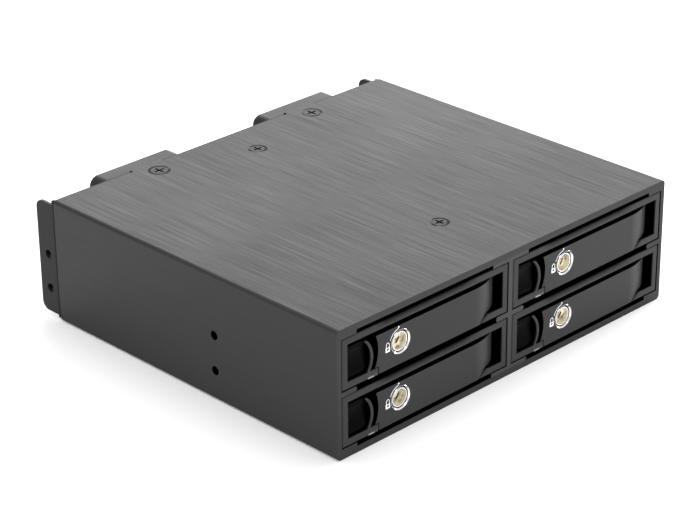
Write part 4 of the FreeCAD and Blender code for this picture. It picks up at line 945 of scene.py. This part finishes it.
def mirrored(places):
    """Places on the left and on the right."""
    return [side * place for side in (-1, 1) for place in places]


def port_contacts():
    """Gold pads on the tongues of the data and the power ports."""
    mesh = bmesh.new()
    wide, long, thick = PAD_SIZE
    for port in DATA_PORTS_X:
        for tongue in DATA_TONGUES_Z:
            for z in row(tongue, DATA_PINS):
                bar(mesh, (port + DATA_PAD_X, PAD_Y, z), (thick, long, wide))
    for tongue in POWER_TONGUES_Z:
        for x in row(0, POWER_PINS):
            bar(mesh, (x, PAD_Y, tongue + POWER_PAD_Z), (wide, long, thick))
    return mesh


def socket_pins():
    """Place of each pin of the drive sockets: across, and the socket's base."""
    for left, low in BAYS.values():
        middle = left + SOCKET_X
        for x in row(middle + DATA_ROW_X, DATA_PINS) + row(middle + POWER_ROW_X, POWER_PINS):
            yield x, low + SOCKET_Z


def socket_contacts():
    """Gold springs under the roof of each socket's slots, each with its hooked front end."""
    wide, thick = 0.6, 0.34
    spring_y, spring_z, spring_long = 47.2, 3.52, 3.8
    hook_y, hook_z, hook_long = 45.9, 3.2, 0.7
    mesh = bmesh.new()
    for x, base in socket_pins():
        bar(mesh, (x, spring_y, base + spring_z), (wide, spring_long, thick))
        bar(mesh, (x, hook_y, base + hook_z), (wide, hook_long, thick))
    return mesh


def solder_joints():
    """Solder cones behind the sockets, and plated legs and ends of the small parts."""
    cone_rows = (2.0, 3.9)
    cone_foot, cone_tip, cone_tall = 0.42, 0.16, 0.55
    leg, leg_reach, leg_gap = (0.42, 0.24, 1.1), 2.35, 0.01
    end_cap, cap_reach = (0.82, 0.5, 0.3), 0.72
    mesh = bmesh.new()
    for x, base in socket_pins():
        for rise in cone_rows:
            post(mesh, (x, BOARD_REAR, base + rise), cone_foot, cone_tip, cone_tall, sides=8)
    for x in mirrored(CHIPS_X):
        for z in (-leg_reach, leg_reach):
            for place in row(x, CHIP_LEGS):
                on_board(mesh, place, z, leg, gap=leg_gap)
    for x in mirrored(RESISTORS_X):
        for z in (-cap_reach, cap_reach):
            on_board(mesh, x, z, end_cap, edge=0.05)
    return mesh


def board_chips():
    """Chips with the dot at their first pin, chip resistors and the feet of the capacitors."""
    chip, chip_gap = (4.9, 1.4, 3.9), 0.1
    dot_x, dot_z, dot_radius, dot_tall = -1.9, 1.4, 0.32, 0.04
    dot_y = BOARD_REAR + chip_gap + chip[1] - dot_tall / 2
    resistor = (0.8, 0.46, 1.2)
    mesh = bmesh.new()
    for x in mirrored(CHIPS_X):
        on_board(mesh, x, 0, chip, edge=0.16, gap=chip_gap)
        post(mesh, (x + dot_x, dot_y, PARTS_Z + dot_z), dot_radius, dot_radius, dot_tall, sides=12)
    for x in mirrored(RESISTORS_X):
        on_board(mesh, x, 0, resistor, edge=0.05)
    for x in mirrored(CANS_X):
        on_board(mesh, x, 0, CAN_FOOT, edge=0.3)
    return mesh


def board_cans():
    """Aluminium cans of the capacitors, with the groove above their foot."""
    # radius, height and rounding of each stretch, from the foot outwards
    stretches = ((1.8, 0.5, 0.0), (1.65, 0.25, 0.0), (1.8, 3.4, 0.22))
    mesh = bmesh.new()
    for x in mirrored(CANS_X):
        y = BOARD_REAR + CAN_FOOT[1]
        for radius, tall, edge in stretches:
            post(mesh, (x, y, PARTS_Z), radius, radius, tall, sides=32, edge=edge)
            y += tall
    return mesh


# Operators


class CAGE_OT_housing(bpy.types.Operator):
    """Finish the housing, its divider and their screws"""
    bl_idname = "cage.housing"
    bl_label = "Housing Finish"

    def execute(self, context):
        shades = colours()
        dress(["housing"], brushed_metal("brushed housing", shades.housing, 0.42))
        # the divider gets painted shade behind its front face
        dress(["centre_divider"], coated(
            "anodised divider", shades.divider, 0.42, 0.5, painted_shade_mask=lambda tree: depth_mask(tree, 0.2)
        ))
        # the screws get painted shade round their heads
        dress(["divider_screws", "plate_screws"], bright_metal(
            "screw plating", shades.housing, 0.42, painted_shade_mask=lambda tree: screw_gap_shade(tree, 0.55, 0.2), glance=0.65
        ))
        soften(["housing", "centre_divider"], sizes().soft_edge, sizes().segments)
        return {"FINISHED"}


class CAGE_OT_trays(bpy.types.Operator):
    """Finish the bezels, handles, pans, pins and buttons of the trays"""
    bl_idname = "cage.trays"
    bl_label = "Tray Finish"

    def execute(self, context):
        shades = colours()
        for bay in BAYS:
            dress([f"tray_bezel_{bay}"], bezel_coat(bay, shades.bezel))
            dress([f"light_guide_{bay}"], frosted_guide(bay, shades.bezel))
        # painted shade on the handles' back faces, and a painted highlight on their curved ends
        dress(per_bay("handle"), coated(
            "handle coat", shades.handle, 0.45, 0.45, spread=0.10, painted_shade_mask=handle_back_shade, light=handle_end_highlight
        ))
        dress(per_bay("tray_pan"), coated("pan coat", shades.pan, 0.45, 0.5))
        dress(per_bay("hinge_pin"), bright_metal("ground pin", shades.steel, 0.3))
        dress(per_bay("release_button"), gloss_plastic("button gloss", shades.button, 0.22))
        soften(per_bay("tray_bezel", "handle", "release_button"), sizes().moulded_edge, sizes().segments)
        soften(per_bay("tray_pan"), sizes().soft_edge, 1)
        return {"FINISHED"}


class CAGE_OT_locks(bpy.types.Operator):
    """Finish the key locks"""
    bl_idname = "cage.locks"
    bl_label = "Lock Finish"

    def execute(self, context):
        shades = colours()
        dress(per_bay("lock_sleeve"), lock_ring("nickel ring", shades.nickel, 0.16))
        dress(per_bay("lock_plug"), lock_cup("lock cup", shades.nickel, shades.cup, 0.34))
        dress(per_bay("lock_cam"), bright_metal("zinc cam", shades.steel, 0.4))
        ink = printed_ink("white ink", shades.ink)
        for bay in BAYS:
            finished_piece(f"lock_marks_{bay}", lock_marks(bay), f"handle_{bay}", ink)
        return {"FINISHED"}


class CAGE_OT_rear(bpy.types.Operator):
    """Finish the rear plate, fans, ports and backplane"""
    bl_idname = "cage.rear"
    bl_label = "Rear Finish"

    def execute(self, context):
        shades = colours()
        dress(["rear_plate"], coated("sheet coat", shades.sheet, 0.5, 0.3, glance=0.6))
        dress(per_side("fan_frame"), coated("fan moulding", shades.fan, 0.5, 0.0, bump=0.3, glance=0.3))
        dress(per_side("fan_rotor"), coated("rotor moulding", shades.fan, 0.38, 0.0, bump=0.1))
        black_screws = bright_metal("black screws", shades.screw, 0.4)
        dress(per_side("fan_screws") + ["standoff_screws"], black_screws)
        dress(["board_standoffs"], bright_metal("turned brass", shades.brass, 0.3))
        dress(["backplane_board"], board_mask("solder mask", shades.board))
        connectors = per_side("data_port") + ["power_port_upper", "power_port_lower"]
        connectors += per_bay("drive_socket")
        dress(connectors, coated("connector moulding", shades.fan, 0.42, 0.0, bump=0.1))
        soften(["rear_plate"] + per_side("fan_frame"), sizes().soft_edge, sizes().segments)
        soften(connectors, sizes().soft_edge, 1)
        return {"FINISHED"}


class CAGE_OT_contacts(bpy.types.Operator):
    """Add the gold contacts and the small parts of the board"""
    bl_idname = "cage.contacts"
    bl_label = "Contacts and Board Parts"

    def execute(self, context):
        shades = colours()
        gold = bright_metal("contact gold", shades.gold, 0.24)
        finished_piece("port_contacts", port_contacts(), "cage", gold)
        finished_piece("socket_contacts", socket_contacts(), "cage", gold)
        finished_piece("solder_joints", solder_joints(), "cage", bright_metal("solder tin", shades.tin, 0.28))
        finished_piece("board_cans", board_cans(), "cage", bright_metal("can aluminium", shades.can, 0.3))
        moulded = coated("chip moulding", shades.chip, 0.5, 0.0, bump=0.1)
        finished_piece("board_chips", board_chips(), "cage", moulded)
        return {"FINISHED"}


class CAGE_OT_stage(bpy.types.Operator):
    """Set the floor, the lights and the camera"""
    bl_idname = "cage.stage"
    bl_label = "Stage"

    def execute(self, context):
        self.floor()
        self.lights(context.scene)
        self.camera(context.scene)
        return {"FINISHED"}

    def floor(self):
        """A wide pale floor, just below the cage."""
        reach = 6.0
        gap = 0.1 * MM
        mesh = bmesh.new()
        bmesh.ops.create_grid(mesh, x_segments=2, y_segments=2, size=reach)
        bmesh.ops.translate(mesh, verts=mesh.verts, vec=(0, 0, -gap))
        data = bpy.data.meshes.new("floor")
        mesh.to_mesh(data)
        mesh.free()
        material, tree, shader = new_material("pale floor")
        grain = grained(tree, fine=300.0, drift=3.0)
        shade = tinted(tree, colours().floor, grain.outputs["Drift"], 0.005)
        tree.links.new(shade, shader.inputs["Base Color"])
        set_inputs(shader, Roughness=0.9, Specular_IOR_Level=0.1)
        set_inputs(shader, Emission_Color=grey(1), Emission_Strength=0.12)
        data.materials.append(material)
        floor = bpy.data.objects.new("floor", data)
        bpy.context.scene.collection.objects.link(floor)

    def lights(self, scene):
        """White surroundings and the lamps."""
        world = bpy.data.worlds.new("studio")
        scene.world = world
        world.use_nodes = True
        set_inputs(world.node_tree.nodes["Background"], Color=grey(1), Strength=0.85)
        for lamp in LAMPS:
            self.area(*lamp)
        scene.view_settings.view_transform = "Standard"
        scene.view_settings.look = "None"
        scene.view_settings.exposure = 0.0

    def area(self, name, place, aim, size, power):
        """A square lamp at a place, turned to its aim."""
        light = bpy.data.lights.new(name, "AREA")
        light.shape = "SQUARE"
        light.size = size
        light.energy = power
        lamp = bpy.data.objects.new(name, light)
        bpy.context.scene.collection.objects.link(lamp)
        lamp.location = place
        lamp.rotation_mode = "QUATERNION"
        lamp.rotation_quaternion = (Vector(aim) - Vector(place)).to_track_quat("-Z", "Y")

    def camera(self, scene):
        """Place the camera at the photograph's viewpoint."""
        azimuth, elevation, roll = (math.radians(angle) for angle in VIEW_ANGLES)
        forward = Vector((
            -math.cos(elevation) * math.sin(azimuth),
            math.cos(elevation) * math.cos(azimuth),
            -math.sin(elevation),
        ))
        right = forward.cross(Vector((0, 0, 1))).normalized()
        up = right.cross(forward)
        turned_right = math.cos(roll) * right + math.sin(roll) * up
        turned_up = -math.sin(roll) * right + math.cos(roll) * up
        turn = Matrix((turned_right, turned_up, -forward)).transposed()
        data = bpy.data.cameras.new("camera")
        data.sensor_fit = "HORIZONTAL"
        data.sensor_width = SENSOR_WIDTH
        data.lens = FOCAL_LENGTH_PIXELS / PHOTO_WIDTH_PIXELS * SENSOR_WIDTH
        camera = bpy.data.objects.new("camera", data)
        scene.collection.objects.link(camera)
        camera.matrix_world = Matrix.Translation(VIEW_PLACE) @ turn.to_4x4()
        data.clip_start = 0.01
        data.clip_end = 30.0
        scene.camera = camera


class CAGE_PT_panel(bpy.types.Panel):
    """List of the cage's finishing steps"""
    bl_idname = "CAGE_PT_panel"
    bl_label = "Drive Cage"
    bl_space_type = "VIEW_3D"
    bl_region_type = "UI"
    bl_category = "Drive Cage"

    def draw(self, context):
        layout = self.layout
        for step in STEPS:
            layout.operator(step.bl_idname)
        for group in (context.scene.cage_colours, context.scene.cage_sizes):
            for name in group.__annotations__:
                layout.prop(group, name)


STEPS = (CAGE_OT_stage, CAGE_OT_housing, CAGE_OT_trays, CAGE_OT_locks, CAGE_OT_rear, CAGE_OT_contacts)
CLASSES = (CageColours, CageSizes, *STEPS, CAGE_PT_panel)


def register():
    for item in CLASSES:
        bpy.utils.register_class(item)
    bpy.types.Scene.cage_colours = PointerProperty(type=CageColours)
    bpy.types.Scene.cage_sizes = PointerProperty(type=CageSizes)


def unregister():
    del bpy.types.Scene.cage_sizes
    del bpy.types.Scene.cage_colours
    for item in reversed(CLASSES):
        bpy.utils.unregister_class(item)


def main():
    """Run every step."""
    register()
    bpy.ops.cage.stage()
    bpy.ops.cage.housing()
    bpy.ops.cage.trays()
    bpy.ops.cage.locks()
    bpy.ops.cage.rear()
    bpy.ops.cage.contacts()


if __name__ == "__main__":
    main()
